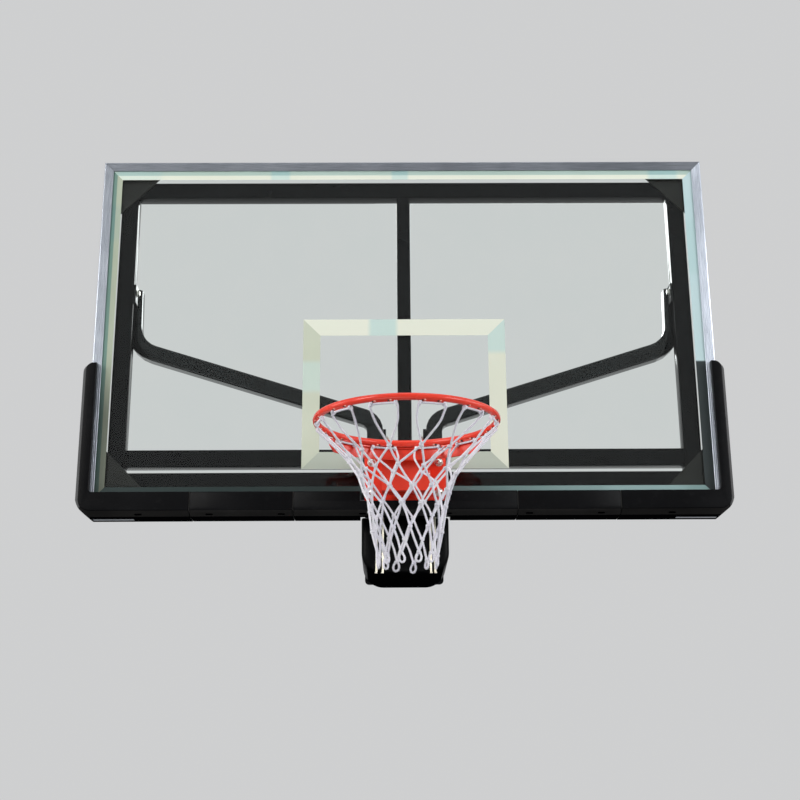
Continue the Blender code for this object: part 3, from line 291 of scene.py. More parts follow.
def cord_fibre():
    """White polyester cord. Its fibres run along the strands, whose lay is in the mesh's own map."""
    made = Paint("white_cord", Sheen_Weight=0.25, Sheen_Roughness=0.5, Specular_IOR_Level=0.25)
    lay = made.add("TexCoord").outputs["UV"]
    drawn_out = made.add("Mapping", {"Vector": lay, "Scale": (34.0, 160.0, 1.0)}).outputs[0]
    fibres = made.noise(1.0, 3.0, drawn_out)
    slow = made.noise(11.0, 3.0)
    shade = made.ramp(slow, (0.3, (0.88, 0.86, 0.95)), (0.7, (0.97, 0.96, 0.99)))
    made.set(Base_Color=made.mix(1.0, shade, made.ramp(fibres, (0.2, (0.80, 0.79, 0.84)),
                                                       (0.6, (1.0, 1.0, 1.0))), "MULTIPLY"),
             Roughness=made.ramp(fibres, (0.3, 0.72), (0.7, 0.9)),
             Normal=made.bump(fibres, 0.35, 0.0004))
    return made.material


def reading(place, axis):
    """Where a place in millimetres of the board lies along X (0) or Z (2) of the frame."""
    return at(place, 0, place)[axis]


def line_print(name, axis, start, end, patches, tint=(0.56, 0.72, 0.68), shade=None, rail_shadow=None):
    """The fired-on print of one line: cream, in two tones of painted light and shade, with soft pale
    bluish-green patches along it, which are painted reflections.

    A patch is a painted reflection: its middle, its half length and its strength, in millimetres along the
    axis; the tint is its bluish-green colour. A shade is the place where the line turns dim, in painted
    shade from a pad, how dim it is there, and over what length it turns. A rail shadow is the edge across
    the line, beyond which the rail's painted shadow lies on it, and the tint there.
    """
    made = Paint(name, Specular_IOR_Level=0.22)
    place = made.add("SeparateXYZ", {0: made.place})
    along = place.outputs[axis]
    reflection_blue = None
    # Painted reflections: soft bluish-green patches along the line.
    for middle, half, strength in patches:
        off = made.maths("ABSOLUTE", made.maths("SUBTRACT", along, reading(middle, axis)))
        share = made.span(off, (half * MM * 0.75, half * MM * 1.15), (strength, 0.0))
        reflection_blue = share if reflection_blue is None else made.maths("MAXIMUM", reflection_blue, share)
    # The print's cream, between this line's two tones of painted light and shade.
    cream = made.ramp(made.noise(2.6, 3.0), (0.35, start), (0.65, end))
    colour = made.mix(reflection_blue, cream, tint)
    # Painted shade from a pad: the line turns dim past this place.
    if shade:
        edge, dim, soft = shade
        where = reading(edge, axis)
        lit = made.span(along, (where - soft * MM, where + soft * MM), (dim, 1.0))
        colour = made.mix(1.0, colour, lit, "MULTIPLY")
    # Painted shadow of the rail over the outer part of the line.
    if rail_shadow:
        edge, shadow_tint = rail_shadow
        across = 2 - axis
        where = abs(reading(edge, across))
        off = made.maths("ABSOLUTE", place.outputs[across])
        beyond = made.span(off, (where - MM, where + MM), (0.0, 1.0), "LINEAR")
        colour = made.mix(1.0, colour, made.mix(beyond, (1.0, 1.0, 1.0), shadow_tint), "MULTIPLY")
    speck = made.noise(900.0, 2.0)
    made.set(Base_Color=colour, Roughness=made.ramp(speck, (0.3, 0.30), (0.7, 0.42)),
             Normal=made.bump(speck, 0.12, 0.00008))
    return made.material


CREAM = (0.80, 0.83, 0.72)
CREAM_DEEP = (0.74, 0.78, 0.66)
ORANGE = powder_coat("orange_paint", (0.80, 0.036, 0.016), (0.90, 0.052, 0.022), 0.22,
                     wear=(0.62, 0.028, 0.014), shine=0.36, coat=0.08)
BLACK_STEEL = powder_coat("black_steel", (0.0022, 0.0027, 0.0032), (0.0040, 0.0046, 0.0056), 0.06,
                          depth=0.00002, shine=0.10, coat=0.0)
BRACE_STEEL = powder_coat("brace_steel", (0.0030, 0.0044, 0.0050), (0.0055, 0.0075, 0.0085), 0.05,
                          depth=0.00002, shine=0.30, coat=0.0)
GREY_STEEL = powder_coat("grey_steel", (0.024, 0.023, 0.021), (0.038, 0.037, 0.034), 0.34,
                         wear=(0.070, 0.070, 0.066), shine=0.2, coat=0.05)
# A light pinkish orange that stands for the highlights on the tab pegs: painted highlight.
PEG_HIGHLIGHT = powder_coat("peg_painted_highlight", (0.86, 0.30, 0.22), (0.95, 0.46, 0.36), 0.20)
WELD = powder_coat("weld_orange", (0.70, 0.034, 0.016), (0.80, 0.048, 0.022), 0.34,
                   peel=900.0, depth=0.0008)
# Lit and shaded copies of one aluminium: the top and bottom rails and the edge plates in painted shade, the
# left rail a little shaded, the right rail in painted light.
ALUMINIUM_SHADED = brushed_aluminium("aluminium_painted_shade", (0.02, 1.0, 1.0), 0.62)
ALUMINIUM_LEFT_SHADED = brushed_aluminium("aluminium_left_painted_shade", (1.0, 1.0, 0.02), 0.88)
ALUMINIUM_RIGHT_LIT = brushed_aluminium("aluminium_right_painted_light", (1.0, 1.0, 0.02), 1.55)
ZINC = plated("zinc_plate", (0.62, 0.61, 0.57), (0.84, 0.83, 0.78), 0.20)
ROD = plated("rod_plate", (0.60, 0.56, 0.46), (0.80, 0.76, 0.64), 0.30)
FOAM = foam_skin("black_foam", (0.0020, 0.0021, 0.0026), (0.0040, 0.0041, 0.0048), 0.34, 0.22)
# A lighter copy of the pad foam for the downward-facing sloping strip: painted light.
FOAM_STRIP_LIT = foam_skin("black_foam_strip_painted_light", (0.020, 0.0195, 0.019), (0.034, 0.033, 0.032), 0.40)
ARM_FOAM = foam_skin("arm_foam", (0.0012, 0.0013, 0.0015), (0.0024, 0.0025, 0.0029), 0.30, 0.02)
RUBBER = plain_grain("black_rubber", (0.012, 0.012, 0.012), (0.024, 0.024, 0.024), 0.70)
NYLON = plain_grain("white_nylon", (0.76, 0.75, 0.70), (0.84, 0.83, 0.79), 0.45)
CORD = cord_fibre()
GLASS = clear_glass()


# ---- stage, light and camera


def placed(name, data):
    """A new object in the scene."""
    made = bpy.data.objects.new(name, data)
    bpy.context.scene.collection.objects.link(made)
    return made


def set_camera():
    data = bpy.data.cameras.new("camera")
    data.lens = CAMERA_LENS
    data.sensor_width = 36.0
    data.shift_y = CAMERA_SHIFT_Y
    data.clip_end = 200.0
    pitch, yaw, roll = CAMERA_PITCH, CAMERA_YAW, CAMERA_ROLL
    level = Vector((math.cos(yaw), -math.sin(yaw), 0.0))
    ahead = Vector((math.cos(pitch) * math.sin(yaw), math.cos(pitch) * math.cos(yaw), math.sin(pitch)))
    up = level.cross(ahead)
    right = math.cos(roll) * level - math.sin(roll) * up
    up = math.sin(roll) * level + math.cos(roll) * up
    turn = Matrix((right, up, -ahead)).transposed().to_4x4()
    camera = placed("camera", data)
    camera.matrix_world = Matrix.Translation(at(*CAMERA_AT)) @ turn
    bpy.context.scene.camera = camera


def seen_or_lit(tree, seen, lit):
    """Picks one shader for rays from the camera, in gloss and through glass, and the other for light."""
    path = tree.nodes.new("ShaderNodeLightPath")
    either = None
    for name in ("Is Camera Ray", "Is Glossy Ray", "Is Transmission Ray"):
        if either is None:
            either = path.outputs[name]
            continue
        most = tree.nodes.new("ShaderNodeMath")
        most.operation = "MAXIMUM"
        tree.links.new(either, most.inputs[0])
        tree.links.new(path.outputs[name], most.inputs[1])
        either = most.outputs[0]
    mix = tree.nodes.new("ShaderNodeMixShader")
    tree.links.new(either, mix.inputs[0])
    tree.links.new(lit.outputs[0], mix.inputs[1])
    tree.links.new(seen.outputs[0], mix.inputs[2])
    return mix.outputs[0]


def lamp(name, place, aim, width, height, power, tint=(1.0, 1.0, 1.0)):
    data = bpy.data.lights.new(name, "AREA")
    data.shape = "RECTANGLE"
    data.size = width
    data.size_y = height
    data.energy = power
    data.color = tint
    made = placed(name, data)
    made.location = at(*place)
    made.rotation_euler = (at(*aim) - at(*place)).to_track_quat("-Z", "Y").to_euler()
    made.visible_camera = False
    made.visible_transmission = False


def set_stage():
    """A pale floor as far below the ring as a court's, a pale world, and large soft lamps."""
    bpy.context.scene.view_settings.view_transform = "Standard"
    world = bpy.data.worlds.new("studio")
    bpy.context.scene.world = world
    world.use_nodes = True
    tree = world.node_tree
    tree.nodes.clear()
    shades = []
    for colour in (PALE, AMBIENT):
        shade = tree.nodes.new("ShaderNodeBackground")
        shade.inputs["Color"].default_value = (*colour, 1.0)
        shades.append(shade)
    out = tree.nodes.new("ShaderNodeOutputWorld")
    tree.links.new(seen_or_lit(tree, *shades), out.inputs["Surface"])

    low = RING_Z - RING_ABOVE_FLOOR
    corners = [at(x, y, low) for x, y in ((-FLOOR_HALF, -FLOOR_HALF), (FLOOR_HALF, -FLOOR_HALF),
                                          (FLOOR_HALF, FLOOR_HALF), (-FLOOR_HALF, FLOOR_HALF))]
    mesh = bpy.data.meshes.new("floor")
    mesh.from_pydata(corners, [], [(0, 1, 2, 3)])
    floor = placed("floor", mesh)
    paint = Paint("floor_paint")
    grain = paint.noise(0.6, 3.0)
    tones = paint.ramp(grain, (0.3, (0.575, 0.58, 0.585)), (0.7, (0.60, 0.605, 0.61)))
    pale = paint.add("Emission", {"Color": tones})
    dim = paint.add("BsdfDiffuse", {"Color": (0.22, 0.22, 0.225, 1.0)})
    paint.tree.links.new(seen_or_lit(paint.tree, pale, dim), paint.tree.nodes["Material Output"].inputs[0])
    mesh.materials.append(paint.material)

    lamp("key", (-3300, -3000, 1500), (0, 0, 400), 1.7, 2.0, 98.0, (1.0, 0.985, 0.96))
    lamp("fill", (3500, -2600, 1100), (0, 0, 400), 1.7, 2.0, 80.0, (0.96, 0.98, 1.0))
    lamp("top", (-200, -800, 2900), (0, -200, 700), 2.6, 0.8, 18.0)
    lamp("low_fill", (-900, -2600, -2300), (0, 0, 200), 2.2, 1.2, 20.0)
    lamp("rear", (900, 3000, 2400), (0, 0, 400), 2.4, 1.8, 60.0, (0.97, 0.985, 1.0))
    lamp("side", (-3300, -500, 700), (-900, 0, 400), 1.2, 2.2, 24.0)
    lamp("side_right", (3300, -500, 600), (900, 0, 300), 1.2, 2.2, 28.0)


# ---- shapes


def to_mesh(work, name):
    """Turns a bmesh in millimetres of the board into a mesh of the frame, with its faces outward."""
    bmesh.ops.recalc_face_normals(work, faces=work.faces)
    for vert in work.verts:
        vert.co = at(*vert.co)
    mesh = bpy.data.meshes.new(name)
    work.to_mesh(mesh)
    work.free()
    return mesh


def smooth(mesh, angle):
    """Smooth shading, with an edge wherever faces meet at more than this angle in degrees."""
    mesh.shade_smooth()
    mesh.set_sharp_from_angle(angle=math.radians(angle))


def finish(work, name, materials, body, replaced=(), angle=35.0):
    """Turns a bmesh, in millimetres of the board, into a piece that rides on a body."""
    mesh = to_mesh(work, name)
    for material in materials if isinstance(materials, (list, tuple)) else [materials]:
        mesh.materials.append(material)
    smooth(mesh, angle)
    made = placed(name, mesh)
    if body:
        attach(made, body)
    if replaced:
        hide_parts(*replaced)
    return made


def skin(work, rings, index=0):
    """Faces between rings of points, each ring closed, with a flat face at both ends."""
    rows = [[work.verts.new(Vector(p)) for p in ring] for ring in rings]
    count = len(rows[0])
    faces = [(first[i], first[(i + 1) % count], second[(i + 1) % count], second[i])
             for first, second in zip(rows, rows[1:]) for i in range(count)]
    for corners in faces + [rows[0][::-1], rows[-1]]:
        work.faces.new(corners).material_index = index


def block(work, lo, hi):
    """A plain block, for trims too small to show a rounded edge, and for cutters."""
    ring = [(lo[0], lo[1]), (hi[0], lo[1]), (hi[0], hi[1]), (lo[0], hi[1])]
    skin(work, [[(x, y, z) for x, y in ring] for z in (lo[2], hi[2])])


def lathe(work, profile, origin, axis, steps=32):
    """Turns a (radius, height) profile about an axis. With six steps it is a hexagon."""
    axis = Vector(axis)
    first = axis.orthogonal().normalized()
    second = axis.cross(first)
    rings = []
    for radius, height in profile:
        ring = []
        for i in range(steps):
            a = 2 * math.pi * i / steps
            ring.append(Vector(origin) + axis * height
                        + (first * math.cos(a) + second * math.sin(a)) * max(radius, 0.01))
        rings.append(ring)
    skin(work, rings)


def swept(work, path, radius, steps=12, closed=False, section=None, lay=0.0):
    """A cord or wire along a path, with a map of its lay.

    A section gives radii round it, and lay is the length in which it twists once. A radius may be one
    number, or one for each point of the path.
    """
    path = [Vector(p) for p in path]
    count = len(path)
    section = section or [1.0] * steps
    steps = len(section)
    lay_map = work.loops.layers.uv.verify()
    rows = []
    side = None
    run = 0.0
    for i, here in enumerate(path):
        before = path[i - 1] if (i > 0 or closed) else here
        after = path[(i + 1) % count] if (i < count - 1 or closed) else here
        ahead = (after - before).normalized()
        if side is None:
            side = ahead.orthogonal().normalized()
        side = (side - ahead * side.dot(ahead)).normalized()
        other = ahead.cross(side)
        if i > 0:
            run += (here - path[i - 1]).length
        twist = 2 * math.pi * run / lay if lay else 0.0
        size = radius[i] if isinstance(radius, (list, tuple)) else radius
        ring = []
        for j, share in enumerate(section):
            a = 2 * math.pi * j / steps + twist
            ring.append(work.verts.new(here + (side * math.cos(a) + other * math.sin(a)) * size * share))
        rows.append((ring, run))
    pairs = list(zip(rows, rows[1:]))
    if closed:
        pairs.append((rows[-1], (rows[0][0], run + (path[0] - path[-1]).length)))
    for (first, near), (second, far) in pairs:
        for j in range(steps):
            k = (j + 1) % steps
            face = work.faces.new((first[j], first[k], second[k], second[j]))
            for loop, place in zip(face.loops, ((j, near), (j + 1, near), (j + 1, far), (j, far))):
                loop[lay_map].uv = (place[0] / steps, place[1] * MM)
    if not closed:
        for ring in (rows[0][0][::-1], rows[-1][0]):
            work.faces.new(ring)


def spline(points, step):
    """A smooth path through points, with places about a step apart."""
    points = [Vector(p) for p in points]
    points = [points[0] * 2 - points[1]] + points + [points[-1] * 2 - points[-2]]
    path = []
    for a, b, c, d in zip(points, points[1:], points[2:], points[3:]):
        pieces = max(1, round((c - b).length / step))
        for j in range(pieces):
            t = j / pieces
            path.append(0.5 * (2 * b + (c - a) * t + (2 * a - 5 * b + 4 * c - d) * t * t
                               + (3 * b - a - 3 * c + d) * t ** 3))
    return path + [points[-2]]


def inset(points, distance):
    """An anticlockwise outline moved in by a distance."""
    moved = []
    for i, here in enumerate(points):
        here = Vector(here)
        first = (here - Vector(points[i - 1])).normalized()
        second = (Vector(points[(i + 1) % len(points)]) - here).normalized()
        normal = Vector((-first.y - second.y, first.x + second.x)).normalized()
        reach = distance / max(normal.dot(Vector((-first.y, first.x))), 0.3)
        moved.append((here.x + normal.x * reach, here.y + normal.y * reach))
    return moved


def arc(centre, radius, start, end, steps):
    """Points along an arc, angles in degrees, with both ends."""
    points = []
    for i in range(steps + 1):
        a = math.radians(start + (end - start) * i / steps)
        points.append((centre[0] + radius * math.cos(a), centre[1] + radius * math.sin(a)))
    return points


def carve(made, cutter):
    """Cuts a bmesh, in millimetres of the board, out of a piece."""
    tool = placed("cutter", to_mesh(cutter, "cutter"))
    change = made.modifiers.new("cut", "BOOLEAN")
    change.operation = "DIFFERENCE"
    change.solver = "EXACT"
    change.object = tool
    graph = bpy.context.evaluated_depsgraph_get()
    fresh = bpy.data.meshes.new_from_object(made.evaluated_get(graph))
    made.modifiers.clear()
    old = made.data
    made.data = fresh
    bpy.data.meshes.remove(old)
    bpy.data.objects.remove(tool)
    smooth(fresh, 35.0)


def body_name(node):
    """The body that a CAD node rides on."""
    bodies = frame["record"]["behaviour"]["bodies"]
    return next(body for body, nodes in bodies.items() if node in nodes)


def dressed(node, material, width, segments):
    """A copy of a CAD node with its sharp edges rounded, which stands for it."""
    work = bmesh.new()
    work.from_mesh(NODES[node].data)
    bmesh.ops.remove_doubles(work, verts=work.verts, dist=0.000005)
    bmesh.ops.dissolve_limit(work, angle_limit=math.radians(1.0), verts=work.verts, edges=work.edges,
                             use_dissolve_boundaries=False)
    sharp = [edge for edge in work.edges
             if len(edge.link_faces) == 2 and edge.calc_face_angle(0.0) > math.radians(42.0)]
    bmesh.ops.bevel(work, geom=sharp, offset=width * MM, offset_type="OFFSET", segments=segments,
                    profile=0.5, affect="EDGES", clamp_overlap=True)
    mesh = bpy.data.meshes.new(node + "_finish")
    work.to_mesh(mesh)
    work.free()
    mesh.materials.clear()
    mesh.materials.append(material)
    smooth(mesh, 38.0)
    made = placed(node + "_finish", mesh)
    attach(made, body_name(node))
    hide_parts(node)


# ---- frame, lines and glass


def rail_profile():
    """A channel's profile as (distance in from the outer edge, y), with fine ridges on its front face."""
    profile = arc((RAIL_R, RAIL_FRONT + RAIL_R), RAIL_R, 180, 270, 4)
    first, last = RAIL_R + 1.6, RAIL_FACE - 2.2
    pitch = (last - first) / RAIL_GROOVES
    bed = RAIL_FRONT + RAIL_GROOVE_DEEP
    for i in range(RAIL_GROOVES):
        w = first + i * pitch
        profile += [(w, RAIL_FRONT), (w + 0.5, bed),
                    (w + pitch * 0.42, bed), (w + pitch * 0.42 + 0.5, RAIL_FRONT)]
    lip, round_off = RAIL_FACE, RAIL_FACE - 0.8
    profile += [(round_off, RAIL_FRONT), (lip, RAIL_FRONT + 0.8), (lip, RAIL_FRONT + RAIL_WALL),
                (RAIL_WALL, RAIL_FRONT + RAIL_WALL), (RAIL_WALL, RAIL_BACK - RAIL_WALL),
                (lip, RAIL_BACK - RAIL_WALL), (lip, RAIL_BACK - 0.8), (round_off, RAIL_BACK)]
    profile += arc((RAIL_R, RAIL_BACK - RAIL_R), RAIL_R, 90, 180, 4)
    side_mid = (RAIL_FRONT + RAIL_BACK) / 2
    for y in (side_mid + 4.0, side_mid - 4.0):
        profile += [(0.0, y + 1.4), (0.5, y + 0.8), (0.5, y - 0.8), (0.0, y - 1.4)]
    return profile


def make_rails():
    """Four mitred aluminium rails. The bottom one's lips are cut back where the rim is bolted on."""
    out_x = GLASS_W / 2 + RAIL_OUT
    top, bottom = GLASS_H + RAIL_OUT, -RAIL_OUT
    mitre = 0.25
    step = 0.05
    profile = rail_profile()
    short = [(min(w, NOTCH_Z + RAIL_OUT), y) for w, y in profile]
    for name, sign in SIDES:
        work = bmesh.new()
        skin(work, [[(sign * (out_x - w), y, bottom + w + mitre) for w, y in profile],
                    [(sign * (out_x - w), y, top - w - mitre) for w, y in profile]])
        paint = ALUMINIUM_LEFT_SHADED if sign < 0 else ALUMINIUM_RIGHT_LIT
        finish(work, f"rail_{name}", paint, "board", [f"frame_{name}"], 25)
    work = bmesh.new()
    skin(work, [[(side * (out_x - w - mitre), y, top - w) for w, y in profile] for side in (-1, 1)])
    finish(work, "rail_top", ALUMINIUM_SHADED, "board", ["frame_top"], 25)
    work = bmesh.new()
    skin(work, [[(-out_x + w + mitre, y, bottom + w) for w, y in profile],
                [(-NOTCH_HALF, y, bottom + w) for w, y in profile],
                [(-NOTCH_HALF + step, y, bottom + w) for w, y in short],
                [(NOTCH_HALF - step, y, bottom + w) for w, y in short],
                [(NOTCH_HALF, y, bottom + w) for w, y in profile],
                [(out_x - w - mitre, y, bottom + w) for w, y in profile]])
    finish(work, "rail_bottom", ALUMINIUM_SHADED, "board", ["frame_bottom"], 25)


def printed_frame(name, lo, hi, width, paints):
    """A mitred frame of four printed lines: bottom, right, top and left, on the front of the glass."""
    work = bmesh.new()
    outer = [(lo[0], lo[1]), (hi[0], lo[1]), (hi[0], hi[1]), (lo[0], hi[1])]
    inner = [(lo[0] + width, lo[1] + width), (hi[0] - width, lo[1] + width),
             (hi[0] - width, hi[1] - width), (lo[0] + width, hi[1] - width)]
    for i in range(4):
        j = (i + 1) % 4
        corners = [outer[i], outer[j], inner[j], inner[i]]
        skin(work, [[(x, y, z) for x, z in corners] for y in (LINE_FRONT, LINE_BACK)], index=i)
    finish(work, name, paints, "board")


def make_lines():
    """The white border and shooter's square, each line in its own tones of painted light and shade, with
    soft pale patches of painted reflection, dimmer stretches of painted shade from the pads, and the rail's
    painted shadow on the top and left lines.
    """
    half = GLASS_W / 2
    # The tint of the painted reflections on the border's bottom and right lines.
    reflection_blue = (0.44, 0.62, 0.62)
    # Painted light and shade: the border's bottom and left lines are set darker and its right line bluer
    # than its cream top line.
    bottom = line_print("border_bottom", 0, (0.22, 0.35, 0.34), (0.27, 0.40, 0.39),
                        [(680, 120, 0.3)], reflection_blue, (120.0, 0.13, 400.0))
    right = line_print("border_right", 2, (0.50, 0.66, 0.68), (0.56, 0.70, 0.71),
                       [(780, 90, 0.7)], reflection_blue, (PAD_SIDE_TOP + 4.0, 0.065, 3.0))
    top = line_print("border_top", 0, CREAM, CREAM_DEEP,
                     [(-372, 30, 0.8), (-10, 26, 0.8), (790, 46, 0.8), (-800, 70, 0.4)],
                     rail_shadow=(GLASS_H - 36.0, (0.60, 0.74, 0.78)))
    left = line_print("border_left", 2, (0.38, 0.43, 0.33), (0.42, 0.47, 0.37),
                      [(860, 60, 0.3)], (0.30, 0.40, 0.37),
                      (PAD_SIDE_TOP - 60.0, 0.34, 120.0), (half - 34.0, (0.40, 0.60, 0.66)))
    printed_frame("border_lines", (-half, 0), (half, GLASS_H), LINE_W, [bottom, right, top, left])
    # The square's bottom and left lines are set darker than its cream top and right lines: painted shade.
    low = line_print("square_bottom", 0, (0.43, 0.48, 0.41), (0.49, 0.54, 0.46), [(0, 250, 0.1)])
    right = line_print("square_right", 2, (0.74, 0.77, 0.62), CREAM_DEEP, [(500, 55, 0.9)])
    top = line_print("square_top", 0, CREAM, (0.78, 0.82, 0.69), [(-62, 42, 0.95)])
    left = line_print("square_left", 2, (0.53, 0.58, 0.46), (0.62, 0.67, 0.55), [(375, 48, 0.6)])
    printed_frame("square_lines", (-SQUARE_W / 2, SQUARE_LOW), (SQUARE_W / 2, SQUARE_HIGH), LINE_W,
                  [low, right, top, left])


# ---- pads

PAD_FRONT = -30.0
PAD_BACK = 72.0
PAD_TOP = 31.0
PAD_BOTTOM = -35.5
PAD_HALF_W = 930.0
PAD_INNER = 888.0
PAD_SIDE_TOP = 415.0
PAD_SEAM_OUTER = 605.0
PAD_SEAM_INNER = 315.0
PAD_SEAM_GAP = 0.6
PAD_CHAMFER = 12.5
PAD_CHAMFER_DEEP = 27.0
PAD_CROWN = 0.9
PAD_HOLE_X = (120.0, 348.0, 550.0, 749.0)
PAD_HOLE_SIZE = (11.0, 4.2)
PAD_NOTCH_HALF = 127.5
FACE_LOW = PAD_BOTTOM + PAD_CHAMFER
SLOPE_END = PAD_FRONT + PAD_CHAMFER_DEEP
EDGE_PLATE_X = (767.0, 882.0)


def cut_for_frame(made, with_notches):
    """The groove that grips the frame, and on the middle pad the room for the rim's plate and the arm."""
    out = GLASS_W / 2 + RAIL_OUT + 0.3
    cutter = bmesh.new()
    block(cutter, (-out, RAIL_FRONT - 0.3, -RAIL_OUT - 0.3), (out, RAIL_BACK + 0.3, 1500.0))
    carve(made, cutter)
    if with_notches:
        for lo, hi in (((-PAD_NOTCH_HALF, PAD_FRONT - 9, 2.0), (PAD_NOTCH_HALF, RAIL_FRONT, 60.0)),
                       ((-PAD_NOTCH_HALF, 16.5, PAD_BOTTOM - 9), (PAD_NOTCH_HALF, PAD_BACK + 9, 60.0))):
            cutter = bmesh.new()
            block(cutter, lo, hi)
            carve(made, cutter)


def cut_ovals(made, xs):
    """The oval screw holes in the sloping strip under the front face."""
    along = Vector((0.0, PAD_CHAMFER_DEEP, -PAD_CHAMFER)).normalized()
    normal = Vector((0.0, along.z, -along.y)).normalized()
    middle = Vector((0.0, PAD_FRONT + PAD_CHAMFER_DEEP * 0.66, PAD_BOTTOM + PAD_CHAMFER * 0.34))
    half, radius = PAD_HOLE_SIZE
    flat = arc((radius - half, 0), radius, 90, 270, 8) + arc((half - radius, 0), radius, -90, 90, 8)
    cutter = bmesh.new()
    for x in xs:
        skin(cutter, [[middle + Vector((x + a, 0, 0)) + along * b + normal * depth for a, b in flat]
                      for depth in (4.0, -8.0)])
    carve(made, cutter)


def bottom_pad_section():
    """A bottom pad's section as (y, z), anticlockwise seen from the left, with round edges."""
    section = arc((PAD_FRONT + 4.0, PAD_TOP - 4.0), 4.0, 180, 90, 5)
    section += arc((PAD_BACK - 6.0, PAD_TOP - 6.0), 6.0, 90, 0, 5)
    section += arc((PAD_BACK - 6.0, PAD_BOTTOM + 6.0), 6.0, 0, -90, 5)
    section += [(SLOPE_END + 3.0, PAD_BOTTOM), (SLOPE_END, PAD_BOTTOM + 0.5),
                (SLOPE_END - 3.0, PAD_BOTTOM + 2.0), (PAD_FRONT + 2.6, FACE_LOW - 1.2),
                (PAD_FRONT + 1.0, FACE_LOW + 0.2), (PAD_FRONT, FACE_LOW + 2.4)]
    top, low = PAD_TOP - 4.0, FACE_LOW + 2.4
    for i in range(1, 6):
        t = i / 6
        section.append((PAD_FRONT - PAD_CROWN * math.sin(math.pi * t), low + (top - low) * t))
    return section[::-1]


def paint_strip(made):
    """Gives the sloping strip under a pad's front face its own, duller skin, in a lighter colour than the
    face that is painted light.
    """
    made.data.materials.append(FOAM_STRIP_LIT)
    for face in made.data.polygons:
        if face.normal.z < -0.70 and face.normal.y < -0.20:
            face.material_index = 1


def make_bottom_pads():
    section = bottom_pad_section()
    gap = PAD_SEAM_GAP
    spans = (("pad_bottom_left", -PAD_SEAM_OUTER + gap, -PAD_SEAM_INNER - gap),
             ("pad_bottom_centre", -PAD_SEAM_INNER + gap, PAD_SEAM_INNER - gap),
             ("pad_bottom_right", PAD_SEAM_INNER + gap, PAD_SEAM_OUTER - gap))
    for name, lo, hi in spans:
        work = bmesh.new()
        stations = ((lo, 1.4), (lo + 0.4, 0.6), (lo + 1.4, 0.0), (hi - 1.4, 0.0), (hi - 0.4, 0.6), (hi, 1.4))
        skin(work, [[(x, y, z) for y, z in inset(section, tuck)] for x, tuck in stations])
        made = finish(work, name + "_skin", FOAM, "board", [name])
        cut_for_frame(made, lo < 0 < hi)
        cut_ovals(made, [side * x for x in PAD_HOLE_X for side in (-1, 1) if lo < side * x < hi])
        paint_strip(made)


def corner_outlines():
    """A corner pad's outer and front outlines as (x, z), point for point, on the right-hand side."""
    seam = PAD_SEAM_OUTER + PAD_SEAM_GAP
    side, low = PAD_HALF_W, PAD_BOTTOM
    in_side, in_low = side - PAD_CHAMFER, low + PAD_CHAMFER
    corner = [(889.0, low), (893.5, low + 3.1), (905.0, low + 12.3), (915.5, low + 20.9),
              (921.0, low + 27.5), (926.5, low + 38.0), (side, low + 48.5)]
    inner = arc((PAD_INNER - 8.0, PAD_TOP + 8.0), 8.0, 0, -90, 6)
    outer = [(seam, low)] + corner + arc((side - 24.0, PAD_SIDE_TOP - 24.0), 24.0, 0, 90, 6)
    outer += [(PAD_INNER, PAD_SIDE_TOP)] + inner + [(seam, PAD_TOP)]
    round_low = arc((in_side - 34.0, in_low + 34.0), 34.0, -90, 0, 6)
    front = [(seam, in_low)] + round_low + arc((in_side - 22.0, PAD_SIDE_TOP - 25.0), 22.0, 0, 90, 6)
    front += [(PAD_INNER, PAD_SIDE_TOP - 3.0)] + inner + [(seam, PAD_TOP)]
    return outer, front


def make_corner_pads():
    outer, front = corner_outlines()
    outlines = ((PAD_FRONT - PAD_CROWN * 0.4, inset(front, 3.4)), (PAD_FRONT, inset(front, 1.6)),
                (PAD_FRONT + 1.1, inset(front, 0.4)), (PAD_FRONT + 2.8, front),
                (SLOPE_END, inset(outer, 0.5)), (SLOPE_END + 3.0, outer), (PAD_BACK - 4.0, outer),
                (PAD_BACK - 1.0, inset(outer, 1.2)), (PAD_BACK, inset(outer, 4.0)))
    for side, sign in SIDES:
        work = bmesh.new()
        skin(work, [[(sign * x, y, z) for x, z in outline] for y, outline in outlines])
        made = finish(work, f"pad_corner_{side}_skin", FOAM, "board", [f"pad_corner_{side}"])
        cut_for_frame(made, False)
        cut_ovals(made, [sign * x for x in PAD_HOLE_X if x > PAD_SEAM_OUTER])
        paint_strip(made)


def make_pad_trims():
    """The thin pale dividers in the pads' seams, and the edge plates under the two corner pads."""
    work = bmesh.new()
    for x in (-PAD_SEAM_OUTER, -PAD_SEAM_INNER, PAD_SEAM_INNER, PAD_SEAM_OUTER):
        block(work, (x - 0.5, PAD_FRONT - 0.9, FACE_LOW + 1.0), (x + 0.5, RAIL_FRONT - 1.0, PAD_TOP - 3.0))
    finish(work, "pad_dividers", GREY_STEEL, "board")
    work = bmesh.new()
    for sign in (-1, 1):
        lo, hi = sorted(sign * x for x in EDGE_PLATE_X)
        block(work, (lo, 25.0, PAD_BOTTOM - 1.5), (hi, 40.0, PAD_BOTTOM - 0.2))
    finish(work, "pad_edge_plates", ALUMINIUM_SHADED, "board")


ARM_PAD_HALF = 125.0
ARM_PAD_TOP = -22.0
ARM_PAD_LOW = -185.0
ARM_PAD_FRONT = 80.0
ARM_PAD_BACK = 362.0
ARM_PAD_R = 62.0
BOOM_HALF = 75.0
BOOM_LOW = -135.0
BOOM_BACK = 500.0
BOOM_FRONT = 130.0


